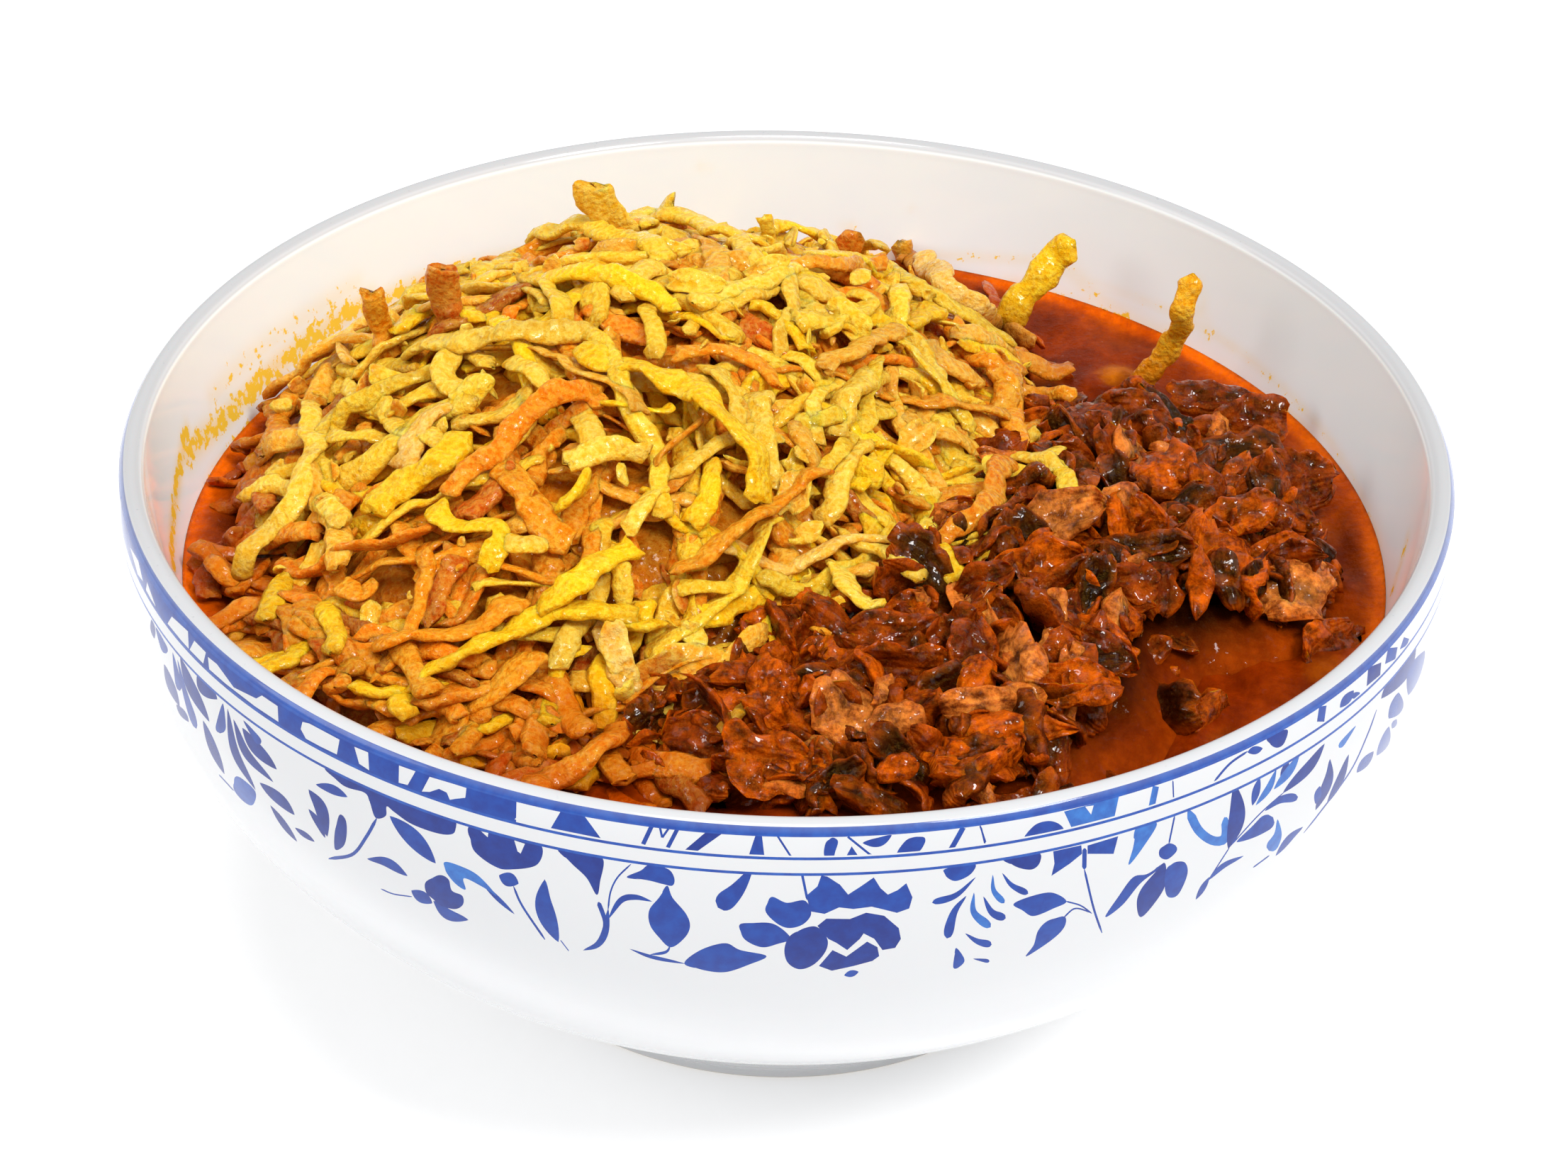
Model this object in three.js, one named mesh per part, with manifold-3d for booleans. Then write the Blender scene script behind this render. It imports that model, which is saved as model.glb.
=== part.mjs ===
// A bowl of split pea and meat stew, heaped with fried potato straws and fried onion flakes.
// Millimetres, +Z up. The origin is the middle of the foot ring's lower face, and the side
// that faces the viewer is -Y.

import * as THREE from 'three';
import { mergeVertices } from 'three/addons/utils/BufferGeometryUtils.js';
import Module from 'manifold-3d';

const wasm = await Module();
wasm.setup();

// The bowl: outer width, height, lip and foot
const rimRadius = 80;
const bowlHeight = 70.4;
const lipThickness = 3;
const lipRadius = lipThickness / 2;
const bellyPull = new THREE.Vector2(rimRadius + 4, bowlHeight - 38.5);
const footPull = new THREE.Vector2(59, bowlHeight - 47.5);
const footCrease = new THREE.Vector2(39.4, 1.6);
const footRadius = 39.1;
const footBevel = 0.5;
const footRingWidth = 3.6;
const footRecess = 2.6;
const recessSlope = 0.8;

// The inside of the bowl
const wellDepthHeight = 8;
const wellRadius = 18;
const wallPull = new THREE.Vector2(71.4, 38);
const wellPull = new THREE.Vector2(60, wellDepthHeight);

// The stew, level 17 mm below the rim
const stewTop = bowlHeight - 17;
const gap = 0.3;
const roundSegments = 60;
const wallSteps = 8;
const peaRadius = 3.4;
const peaProud = 1.5;

// How far a heap's bare core stands above the stew at its edge, and reaches down into it
const edgeStep = 2;
const soakedDepth = 4;
const moundDirections = 30;
const moundRings = [0.25, 0.5, 0.72, 0.9, 1];

// Each heap: its summit in plan, its height over the stew, and how far its edge lies from
// the summit, every 30 degrees from +X towards +Y
const potatoHeap = {
  summit: new THREE.Vector2(-14, 18),
  rise: 23,
  unevenness: 1.2,
  reach: [45, 51, 52, 49, 48, 48, 53, 60, 69, 59, 50, 43],
};
const onionHeap = {
  summit: new THREE.Vector2(26, -16),
  rise: 8.5,
  unevenness: 1,
  reach: [40, 44, 50, 44, 30, 30, 38, 46, 45, 42, 33, 26],
};

// The straws and flakes that show on the heaps
const strawCount = 38;
const strawThickness = [2.4, 3.6];
const strawLength = [20, 38];
const strawOverhang = 3;
const strawSides = 5;
const strawSteps = 4;
const flakeCount = 41;
const flakeLength = [10, 16];
const flakeThickness = 1.1;
const flakeLift = 1.4;
const goldenAngle = Math.PI * (3 - Math.sqrt(5));

// Two straws that stand by themselves in the stew: x, y and height over the stew
const uprightStraw = {
  width: 3,
  path: [
    [46.5, 37, 0.8],
    [49, 37, 7],
    [51, 37.5, 13],
    [52, 38, 18],
  ],
};
const yellowStraw = {
  width: 4.2,
  path: [
    [29.5, 50.5, 2.8],
    [32, 52, 6],
    [35, 54, 9.5],
    [37.5, 56, 12.5],
  ],
};

// Seeded draws, so that each build gives the same heaps
function makeDraw(seed) {
  let state = seed;
  return (low, high) => {
    state = (state + 0x6d2b79f5) | 0;
    let t = Math.imul(state ^ (state >>> 15), 1 | state);
    t = (t + Math.imul(t ^ (t >>> 7), 61 | t)) ^ t;
    const unit = ((t ^ (t >>> 14)) >>> 0) / 4294967296;
    return low + (high - low) * unit;
  };
}

// Closed mesh to solid, and solid back to a mesh that three.js can hold
function toSolid(geometry) {
  geometry.deleteAttribute('normal');
  geometry.deleteAttribute('uv');
  const welded = mergeVertices(geometry, 1e-4);
  const index = welded.index.array;
  const triangles = [];
  for (let i = 0; i < index.length; i += 3) {
    const [a, b, c] = index.slice(i, i + 3);
    if (a !== b && b !== c && c !== a) triangles.push(a, b, c);
  }
  const vertProperties = new Float32Array(welded.attributes.position.array);
  return new wasm.Manifold(new wasm.Mesh({ numProp: 3, vertProperties, triVerts: new Uint32Array(triangles) }));
}

function toGeometry(solid) {
  const { vertProperties, triVerts } = solid.getMesh();
  const geometry = new THREE.BufferGeometry();
  geometry.setAttribute('position', new THREE.BufferAttribute(new Float32Array(vertProperties), 3));
  geometry.setIndex(new THREE.BufferAttribute(new Uint32Array(triVerts), 1));
  geometry.computeVertexNormals();
  return geometry;
}

// The biggest connected piece: loose scraps go, and a hollow that fusing sealed is filled
function wholePiece(solid) {
  return solid.decompose().reduce((best, piece) => (piece.volume() > best.volume() ? piece : best));
}

function latheSolid(profile) {
  const geometry = new THREE.LatheGeometry(profile, roundSegments);
  geometry.rotateX(Math.PI / 2);
  return toSolid(geometry);
}

function curvePoints(start, pullA, pullB, end, count) {
  const curve = new THREE.CubicBezierCurve(start, pullA, pullB, end);
  return curve.getPoints(count);
}

// The inner wall from the lip down to the flat of the well, moved inward by an inset
function innerWall(inset) {
  const start = new THREE.Vector2(rimRadius - lipThickness, bowlHeight - lipRadius);
  const end = new THREE.Vector2(wellRadius, wellDepthHeight);
  const points = curvePoints(start, wallPull, wellPull, end, wallSteps);
  return points.map((p) => new THREE.Vector2(p.x - inset, p.y + inset * (1 - p.y / bowlHeight)));
}

function makeBowl() {
  const wallTop = new THREE.Vector2(rimRadius, bowlHeight - lipRadius);
  const outer = curvePoints(footCrease, footPull, bellyPull, wallTop, wallSteps);
  const lip = [];
  for (let i = 1; i < 4; i++) {
    const angle = (i * Math.PI) / 4;
    const x = rimRadius - lipRadius + lipRadius * Math.cos(angle);
    lip.push(new THREE.Vector2(x, bowlHeight - lipRadius + lipRadius * Math.sin(angle)));
  }
  const ringInner = footRadius - footBevel - footRingWidth;
  const profile = [
    new THREE.Vector2(0, footRecess),
    new THREE.Vector2(ringInner - recessSlope, footRecess),
    new THREE.Vector2(ringInner, 0),
    new THREE.Vector2(footRadius - footBevel, 0),
    new THREE.Vector2(footRadius, footBevel),
    ...outer,
    ...lip,
    ...innerWall(0),
    new THREE.Vector2(0, wellDepthHeight),
  ];
  return latheSolid(profile);
}

// Radius of the bowl's inner wall at a height
function innerRadius(z) {
  const wall = innerWall(0);
  const above = wall.findIndex((p) => p.y <= z);
  if (above < 1) return wall[0].x;
  const [a, b] = [wall[above - 1], wall[above]];
  return a.x + ((b.x - a.x) * (z - a.y)) / (b.y - a.y);
}

// Distance from a heap's summit to its edge in one direction
function edgeReach(heap, angle) {
  const steps = heap.reach.length;
  const place = ((angle / (2 * Math.PI)) * steps + steps) % steps;
  const i = Math.floor(place) % steps;
  const ease = (1 - Math.cos((place - Math.floor(place)) * Math.PI)) / 2;
  return heap.reach[i] * (1 - ease) + heap.reach[(i + 1) % steps] * ease;
}

// Where a plan point lies between a heap's summit, 0, and its edge, 1
function edgeShare(heap, x, y, margin = 0) {
  const dx = x - heap.summit.x;
  const dy = y - heap.summit.y;
  return Math.hypot(dx, dy) / (edgeReach(heap, Math.atan2(dy, dx)) + margin);
}

function moundHeight(heap, share) {
  if (share >= 1) return stewTop;
  return stewTop + edgeStep + (heap.rise - edgeStep) * (1 - share * share);
}

// A heap's bare core: a flat base sunk in the stew, a low upright edge and an uneven dome
function moundSolid(heap, grow, draw) {
  const positions = [];
  const triangles = [];
  const base = stewTop - soakedDepth - grow;
  const vertex = (x, y, z) => positions.push(x, y, z) / 3 - 1;
  const ringOf = (share, height) => {
    const ring = [];
    for (let j = 0; j < moundDirections; j++) {
      const angle = (j * 2 * Math.PI) / moundDirections;
      const reach = edgeReach(heap, angle) * share + grow;
      const x = heap.summit.x + reach * Math.cos(angle);
      ring.push(vertex(x, heap.summit.y + reach * Math.sin(angle), height()));
    }
    return ring;
  };
  const join = (inner, outer) => {
    for (let j = 0; j < moundDirections; j++) {
      const k = (j + 1) % moundDirections;
      triangles.push(inner[j], outer[j], outer[k], inner[j], outer[k], inner[k]);
    }
  };
  const domeTop = (share) => moundHeight(heap, Math.min(share, 0.999)) + grow;
  const rough = (share) => (share < 1 ? draw(-heap.unevenness, heap.unevenness) : 0);
  const top = vertex(heap.summit.x, heap.summit.y, domeTop(0));
  let previous = null;
  for (const share of moundRings) {
    const ring = ringOf(share, () => domeTop(share) + rough(share));
    if (previous) join(previous, ring);
    for (let j = 0; j < moundDirections && !previous; j++) {
      triangles.push(top, ring[j], ring[(j + 1) % moundDirections]);
    }
    previous = ring;
  }
  const lower = ringOf(1, () => base);
  join(previous, lower);
  const bottom = vertex(heap.summit.x, heap.summit.y, base);
  for (let j = 0; j < moundDirections; j++) {
    triangles.push(bottom, lower[(j + 1) % moundDirections], lower[j]);
  }
  const geometry = new THREE.BufferGeometry();
  geometry.setAttribute('position', new THREE.BufferAttribute(new Float32Array(positions), 3));
  geometry.setIndex(triangles);
  return toSolid(geometry);
}

// A straight-sided column over a heap's outline, for cutting what must stay clear of it
function columnSolid(heap, grow, low, high) {
  const outline = new THREE.Shape();
  for (let j = 0; j < moundDirections; j++) {
    const angle = (j * 2 * Math.PI) / moundDirections;
    const reach = edgeReach(heap, angle) + grow;
    const x = heap.summit.x + reach * Math.cos(angle);
    const y = heap.summit.y + reach * Math.sin(angle);
    if (j === 0) outline.moveTo(x, y);
    else outline.lineTo(x, y);
  }
  const geometry = new THREE.ExtrudeGeometry(outline, { depth: high - low, bevelEnabled: false });
  geometry.translate(0, 0, low);
  return toSolid(geometry);
}

// One fried potato straw: a bent bar of few sides along its path
function strawSolid(path, width, thickness) {
  const section = new THREE.Shape();
  for (let i = 0; i < strawSides; i++) {
    const angle = (i * 2 * Math.PI) / strawSides;
    const x = (thickness / 2) * Math.cos(angle);
    const y = (width / 2) * Math.sin(angle);
    if (i === 0) section.moveTo(x, y);
    else section.lineTo(x, y);
  }
  const extrudePath = new THREE.CatmullRomCurve3(path);
  return toSolid(new THREE.ExtrudeGeometry(section, { steps: strawSteps, bevelEnabled: false, extrudePath }));
}

// Whether a point of a straw is free of the bowl's wall, and within the potato heap or only a
// little past it over the stew, clear of the onion
function isClear(point, radius) {
  if (Math.hypot(point.x, point.y) > innerRadius(point.z) - radius - 1) return false;
  if (edgeShare(potatoHeap, point.x, point.y, -radius - gap) < 1) return true;
  const nearEdge = edgeShare(potatoHeap, point.x, point.y, strawOverhang) < 1;
  return nearEdge && edgeShare(onionHeap, point.x, point.y, radius + gap) > 1;
}

// Straws that stand out of the heap where they are seen: plan start, plan end, and the
// height of both ends over the core
const landmarkStraws = [
  { name: 'peak, leaning back', from: [-20, 30, 0], to: [-26, 43, 6], width: 4.4 },
  { name: 'peak, beside it', from: [-30, 34, -1], to: [-22, 42, 5], width: 3.4 },
  { name: 'ridge at the back', from: [-8, 38, 0], to: [12, 42, 2], width: 3.6 },
  { name: 'upright stub at the back left', from: [-43, 38, -2], to: [-46, 44, 7], width: 4.2 },
  { name: 'second stub at the back left', from: [-50, 34, -2], to: [-54, 38, 6], width: 3.4 },
  { name: 'pale straw at the left', from: [-62, 8, 4], to: [-60, -20, 1], width: 3.2 },
  { name: 'long yellow straw across the front', from: [-12, 10, 3], to: [8, -14, 3], width: 4.4 },
  { name: 'pale straw near the onion', from: [-18, -24, 2], to: [10, -18, 3], width: 3.2 },
  { name: 'yellow straw at the front left', from: [-44, -34, 2], to: [-16, -22, 3], width: 3.8 },
];

function landmarkPath(landmark) {
  const [start, end] = [landmark.from, landmark.to];
  const path = [];
  for (const share of [0, 0.33, 0.67, 1]) {
    const x = start[0] + (end[0] - start[0]) * share;
    const y = start[1] + (end[1] - start[1]) * share;
    const lift = start[2] + (end[2] - start[2]) * share;
    path.push(new THREE.Vector3(x, y, moundHeight(potatoHeap, edgeShare(potatoHeap, x, y)) + lift));
  }
  return path;
}

function makePotatoHeap() {
  const draw = makeDraw(41);
  let heap = moundSolid(potatoHeap, 0, draw);
  for (const landmark of landmarkStraws) {
    heap = heap.add(strawSolid(landmarkPath(landmark), landmark.width, landmark.width * 0.7));
  }
  for (let i = 0; i < strawCount; i++) {
    const share = Math.sqrt((i + 0.5) / strawCount) * 0.95;
    const bearing = i * goldenAngle;
    const reach = edgeReach(potatoHeap, bearing) * share;
    const centre = new THREE.Vector2(reach * Math.cos(bearing), reach * Math.sin(bearing)).add(potatoHeap.summit);
    const heading = draw(0, Math.PI);
    const length = draw(...strawLength);
    const bend = draw(-0.3, 0.3) * length;
    const width = draw(...strawThickness);
    const tilt = draw(-0.12, 0.12);
    const path = [];
    for (const along of [-0.5, -0.25, 0, 0.25, 0.5]) {
      const side = bend * (0.25 - along * along);
      const x = centre.x + along * length * Math.cos(heading) - side * Math.sin(heading);
      const y = centre.y + along * length * Math.sin(heading) + side * Math.cos(heading);
      const floor = stewTop + gap + width / 2 + 0.1;
      const over = moundHeight(potatoHeap, edgeShare(potatoHeap, x, y)) + 0.4 + tilt * along * length;
      const point = new THREE.Vector3(x, y, Math.max(over, floor));
      if (isClear(point, width / 2)) path.push(point);
    }
    if (path.length > 2) heap = heap.add(strawSolid(path, width, width * draw(0.55, 0.95)));
  }
  return wholePiece(heap);
}

// One onion flake: a thin wavy sheet, both faces split alike
function flakeGeometry(draw, length, width) {
  const across = 2;
  const along = 4;
  const positions = [];
  const triangles = [];
  const [waveA, waveB] = [draw(0, 6), draw(0, 6)];
  const curl = draw(-0.1, 0.1);
  for (const side of [-1, 1]) {
    for (let i = 0; i <= along; i++) {
      for (let j = 0; j <= across; j++) {
        const u = i / along - 0.5;
        const v = j / across - 0.5;
        const taper = 1 - 1.6 * u * u;
        const wave = 1.3 * Math.sin(5 * u + waveA) + 0.9 * Math.sin(6 * v + waveB) + curl * v * v * width * 4;
        positions.push(u * length, v * width * taper, wave + (side * flakeThickness) / 2);
      }
    }
  }
  const row = across + 1;
  const sheet = row * (along + 1);
  const quad = (a, b, c, d) => triangles.push(a, b, c, a, c, d);
  for (let i = 0; i < along; i++) {
    for (let j = 0; j < across; j++) {
      const a = i * row + j;
      quad(a, a + 1, a + row + 1, a + row);
      quad(sheet + a, sheet + a + row, sheet + a + row + 1, sheet + a + 1);
    }
    const low = i * row;
    const high = low + across;
    quad(low, low + row, sheet + low + row, sheet + low);
    quad(high + row, high, sheet + high, sheet + high + row);
  }
  for (let j = 0; j < across; j++) {
    const end = along * row + j;
    quad(j + 1, j, sheet + j, sheet + j + 1);
    quad(end, end + 1, sheet + end + 1, sheet + end);
  }
  const geometry = new THREE.BufferGeometry();
  geometry.setAttribute('position', new THREE.BufferAttribute(new Float32Array(positions), 3));
  geometry.setIndex(triangles);
  return geometry;
}

// Where a flake would dip into the stew, it lies on it
function layOnStew(geometry) {
  const position = geometry.attributes.position;
  for (let i = 0; i < position.count; i++) {
    const lowest = stewTop + gap + (i < position.count / 2 ? 0 : flakeThickness);
    position.setZ(i, Math.max(position.getZ(i), lowest));
  }
}

function makeOnionHeap() {
  const draw = makeDraw(97);
  const potatoColumn = columnSolid(potatoHeap, gap, 0, bowlHeight * 2);
  let heap = moundSolid(onionHeap, 0, draw).subtract(potatoColumn);
  for (let i = 0; i < flakeCount; i++) {
    const share = Math.sqrt((i + 0.5) / flakeCount) * 0.92;
    const bearing = i * goldenAngle;
    const reach = edgeReach(onionHeap, bearing) * share;
    const x = onionHeap.summit.x + reach * Math.cos(bearing);
    const y = onionHeap.summit.y + reach * Math.sin(bearing);
    const length = draw(...flakeLength);
    const half = length / 2;
    const geometry = flakeGeometry(draw, length, length * draw(0.55, 0.8));
    geometry.rotateX(draw(-0.5, 0.5));
    geometry.rotateY(draw(0.15, 0.9));
    geometry.rotateZ(draw(0, 2 * Math.PI));
    geometry.translate(x, y, moundHeight(onionHeap, share) + flakeLift);
    layOnStew(geometry);
    const outsidePotato = edgeShare(potatoHeap, x, y, flakeThickness) > 1;
    const insideBowl = Math.hypot(x, y) + half < innerRadius(stewTop) - 1;
    const [strawX, strawY] = uprightStraw.path[0];
    const besideStraw = Math.hypot(x - strawX, y - strawY) > half + uprightStraw.width;
    if (!outsidePotato || !insideBowl || !besideStraw) continue;
    heap = heap.add(toSolid(geometry));
  }
  return wholePiece(heap.subtract(potatoColumn));
}

// Split peas that show just under the stew's surface
const shownPeas = [
  [33, 44],
  [44, 42],
  [57, -29],
];

function makeStew() {
  const wall = innerWall(gap).filter((p) => p.y < stewTop - 0.5);
  const topRadius = innerRadius(stewTop) - gap;
  const profile = [
    new THREE.Vector2(0, wellDepthHeight + gap),
    ...wall.reverse(),
    new THREE.Vector2(topRadius, stewTop),
    new THREE.Vector2(0, stewTop),
  ];
  let stew = latheSolid(profile);
  for (const [x, y] of shownPeas) {
    const geometry = new THREE.SphereGeometry(peaRadius, 10, 6);
    geometry.translate(x, y, stewTop + peaProud - peaRadius);
    stew = stew.add(toSolid(geometry));
  }
  stew = stew.subtract(columnSolid(potatoHeap, gap, stewTop - soakedDepth - gap, bowlHeight));
  return wholePiece(stew.subtract(columnSolid(onionHeap, gap, stewTop - soakedDepth - gap, bowlHeight)));
}

function makeLoneStraw(straw) {
  const path = straw.path.map(([x, y, height]) => new THREE.Vector3(x, y, stewTop + height));
  return strawSolid(path, straw.width, straw.width * 0.6);
}

const group = new THREE.Group();

function addPiece(name, solid, color, roughness) {
  const material = new THREE.MeshStandardMaterial({ color, roughness, metalness: 0 });
  const mesh = new THREE.Mesh(toGeometry(solid), material);
  mesh.name = name;
  group.add(mesh);
}

addPiece('bowl', makeBowl(), 0xf4f4f6, 0.15);
addPiece('stew', makeStew(), 0xb34a0a, 0.2);
addPiece('fried_potato_heap', makePotatoHeap(), 0xe0b040, 0.55);
addPiece('fried_onion_heap', makeOnionHeap(), 0x8a3c10, 0.3);
addPiece('upright_straw', makeLoneStraw(uprightStraw), 0xe0a030, 0.5);
addPiece('yellow_straw', makeLoneStraw(yellowStraw), 0xf0c010, 0.5);

export default group;
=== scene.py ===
"""A bowl of split pea and meat stew, heaped with fried potato straws and fried onion flakes.

Sizes are millimetres until a mesh is made. The origin is the middle of the foot ring's lower
face, +Z is up and the side that faces the viewer is -Y."""

import itertools
import math

import bpy
import numpy as np
from mathutils import Matrix, Vector, geometry


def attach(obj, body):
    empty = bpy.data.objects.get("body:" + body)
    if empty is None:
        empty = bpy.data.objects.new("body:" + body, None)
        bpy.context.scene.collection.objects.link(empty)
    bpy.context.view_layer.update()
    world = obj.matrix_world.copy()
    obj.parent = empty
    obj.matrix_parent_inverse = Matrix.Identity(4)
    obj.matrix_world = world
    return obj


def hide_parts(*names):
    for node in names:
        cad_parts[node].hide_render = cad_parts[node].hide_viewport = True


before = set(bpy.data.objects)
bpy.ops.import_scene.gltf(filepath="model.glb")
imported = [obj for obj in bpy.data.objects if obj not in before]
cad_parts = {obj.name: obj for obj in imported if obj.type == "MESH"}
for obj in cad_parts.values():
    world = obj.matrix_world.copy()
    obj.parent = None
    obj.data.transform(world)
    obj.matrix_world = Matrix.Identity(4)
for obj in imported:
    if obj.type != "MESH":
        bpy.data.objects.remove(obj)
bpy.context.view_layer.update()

MM = 0.001
UP = np.array([0.0, 0.0, 1.0])

# The bowl, as in the part
RIM_RADIUS = 80.0
BOWL_HEIGHT = 70.4
LIP_THICKNESS = 3.0
LIP_RADIUS = LIP_THICKNESS / 2
BELLY_PULL = (RIM_RADIUS + 4, BOWL_HEIGHT - 38.5)
FOOT_PULL = (59.0, BOWL_HEIGHT - 47.5)
FOOT_CREASE = (39.4, 1.6)
FOOT_RADIUS = 39.1
FOOT_BEVEL = 0.5
FOOT_RING_WIDTH = 3.6
FOOT_RECESS = 2.6
RECESS_SLOPE = 0.8
WELL_HEIGHT = 8.0
WELL_RADIUS = 18.0
WALL_PULL = (71.4, 38.0)
WELL_PULL = (60.0, WELL_HEIGHT)

# The contents, as in the part
STEW_TOP = BOWL_HEIGHT - 17
GAP = 0.3
SOAKED_DEPTH = 4.0
EDGE_STEP = 2.0
POTATO_HEAP = {
    "summit": (-14.0, 18.0),
    "rise": 23.0,
    "reach": (45, 51, 52, 49, 48, 48, 53, 60, 69, 59, 50, 43),
}
ONION_HEAP = {
    "summit": (26.0, -16.0),
    "rise": 8.5,
    "reach": (40, 44, 50, 44, 30, 30, 38, 46, 45, 42, 33, 26),
}
UPRIGHT_STRAW = ((46.5, 37, 0.8), (49, 37, 7), (51, 37.5, 13), (52, 38, 18))
UPRIGHT_WIDTH = 3.0
YELLOW_STRAW = ((29.5, 50.5, 2.8), (32, 52, 6), (35, 54, 9.5), (37.5, 56, 12.5))
YELLOW_WIDTH = 4.2
SHOWN_PEAS = ((33, 44), (44, 42))

# The camera: the photograph's own frame, focal length and place
IMAGE_WIDTH = 2212
IMAGE_HEIGHT = 1659
FOCAL_PIXELS = 5000
SENSOR_WIDTH = 36.0
CAMERA_DISTANCE = 5.36341 * RIM_RADIUS
CAMERA_ELEVATION = math.radians(31.128)
CAMERA_PITCH = -0.0465
CAMERA_ROLL = math.radians(-1.495)
PHOTO_PIXELS_PER_MM = 11.5


def camera_axes():
    """The camera's place and its right, up and forward directions"""
    forward = np.array([0, math.cos(CAMERA_ELEVATION), -math.sin(CAMERA_ELEVATION)])
    right = np.array([1.0, 0, 0])
    up = np.cross(right, forward)
    place = UP * BOWL_HEIGHT - forward * CAMERA_DISTANCE
    cos, sin = math.cos(CAMERA_PITCH), math.sin(CAMERA_PITCH)
    up, forward = up * cos - forward * sin, up * sin + forward * cos
    cos, sin = math.cos(CAMERA_ROLL), math.sin(CAMERA_ROLL)
    right, up = right * cos - up * sin, right * sin + up * cos
    return place, right, up, forward


CAMERA_PLACE, CAMERA_RIGHT, CAMERA_UP, CAMERA_FORWARD = camera_axes()


def photo_rays(pixels):
    """Directions from the camera through pixels of the photograph"""
    pixels = np.atleast_2d(np.asarray(pixels, float))
    across = (pixels[:, 0:1] - IMAGE_WIDTH / 2) / FOCAL_PIXELS
    upward = (IMAGE_HEIGHT / 2 - pixels[:, 1:2]) / FOCAL_PIXELS
    rays = across * CAMERA_RIGHT + upward * CAMERA_UP + CAMERA_FORWARD
    return rays / np.linalg.norm(rays, axis=1, keepdims=True)


def first_hits(pixels, depth):
    """Where rays through the pixels first have depth(points) above 0, or come nearest to it"""
    rays = photo_rays(pixels)
    steps = np.arange(CAMERA_DISTANCE - 130, CAMERA_DISTANCE + 130, 0.5)
    points = CAMERA_PLACE + rays[:, None, :] * steps[None, :, None]
    depths = depth(points.reshape(-1, 3)).reshape(len(rays), -1)
    inside = depths > 0
    index = np.where(inside.any(axis=1), inside.argmax(axis=1), depths.argmax(axis=1))
    near = steps[np.maximum(index - 1, 0)]
    far = steps[index]
    for _ in range(12):
        middle = (near + far) / 2
        is_in = depth(CAMERA_PLACE + rays * middle[:, None]) > 0
        far = np.where(is_in, middle, far)
        near = np.where(is_in, near, middle)
    return CAMERA_PLACE + rays * far[:, None]


# Shapes of the bowl and of the heaps
def bezier(start, pull_a, pull_b, end, count):
    share = np.linspace(0, 1, count)[:, None]
    corners = [np.array(p, float) for p in (start, pull_a, pull_b, end)]
    weights = ((1 - share) ** 3, 3 * (1 - share) ** 2 * share, 3 * (1 - share) * share**2, share**3)
    return sum(corner * weight for corner, weight in zip(corners, weights))


def arc(centre, radius, start, end, count):
    angles = np.radians(np.linspace(start, end, count))
    return np.array(centre) + radius * np.stack([np.cos(angles), np.sin(angles)], axis=1)


LIP_CENTRE = (RIM_RADIUS - LIP_RADIUS, BOWL_HEIGHT - LIP_RADIUS)
OUTER_WALL = bezier((RIM_RADIUS, LIP_CENTRE[1]), BELLY_PULL, FOOT_PULL, FOOT_CREASE, 400)
OUTSIDE = np.vstack([arc(LIP_CENTRE, LIP_RADIUS, 90, 0, 40)[:-1], OUTER_WALL])
OUTSIDE_DROP = np.concatenate([[0], np.cumsum(np.hypot(*np.diff(OUTSIDE, axis=0).T))])
INNER_TOP = (RIM_RADIUS - LIP_THICKNESS, LIP_CENTRE[1])
INNER_WALL = bezier(INNER_TOP, WALL_PULL, WELL_PULL, (WELL_RADIUS, WELL_HEIGHT), 200)


def outside_radius(z):
    return np.interp(-z, -OUTSIDE[:, 1], OUTSIDE[:, 0])


def inside_radius(z):
    return np.interp(-z, -INNER_WALL[:, 1], INNER_WALL[:, 0])


def wall_point(arc_length, drop):
    """A point on the bowl's outside: arc length round the rim from the front, drop from the lip"""
    radius = np.interp(drop, OUTSIDE_DROP, OUTSIDE[:, 0])
    z = np.interp(drop, OUTSIDE_DROP, OUTSIDE[:, 1])
    angle = np.asarray(arc_length) / RIM_RADIUS
    return np.stack([radius * np.sin(angle), -radius * np.cos(angle), z], axis=1)


def depth_in_wall(points):
    beyond = np.hypot(points[:, 0], points[:, 1]) - outside_radius(points[:, 2])
    return np.where((points[:, 2] < BOWL_HEIGHT) & (points[:, 2] > 0), -beyond, -50.0)


def wall_from_photo(pixels):
    """Arc length and drop on the bowl's outside, for pixels of the photograph"""
    points = first_hits(pixels, depth_in_wall)
    angle = np.arctan2(points[:, 0], -points[:, 1])
    drop = np.interp(-points[:, 2], -OUTSIDE[:, 1], OUTSIDE_DROP)
    return np.stack([angle * RIM_RADIUS, drop], axis=1)


def inner_wall_from_photo(pixels):
    """Points of the bowl's inner wall at pixels of the photograph"""
    pixels = np.atleast_2d(np.asarray(pixels, float))
    rays = photo_rays(pixels)
    steps = np.arange(CAMERA_DISTANCE - 90, CAMERA_DISTANCE + 130, 0.25)
    points = CAMERA_PLACE + rays[:, None, :] * steps[None, :, None]
    radius = np.hypot(points[..., 0], points[..., 1])
    inside = (radius < inside_radius(points[..., 2])) & (points[..., 2] < BOWL_HEIGHT)
    last = inside.shape[1] - 1 - inside[:, ::-1].argmax(axis=1)
    return points[np.arange(len(pixels)), last]


def edge_share(heap, x, y):
    """Where a plan point lies between a heap's summit, 0, and its edge, 1"""
    dx = np.asarray(x) - heap["summit"][0]
    dy = np.asarray(y) - heap["summit"][1]
    reach = np.array(heap["reach"], float)
    place = (np.arctan2(dy, dx) / (2 * math.pi) * len(reach)) % len(reach)
    low = np.floor(place).astype(int) % len(reach)
    ease = (1 - np.cos((place - np.floor(place)) * math.pi)) / 2
    edge = reach[low] * (1 - ease) + reach[(low + 1) % len(reach)] * ease
    return np.hypot(dx, dy) / edge


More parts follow.
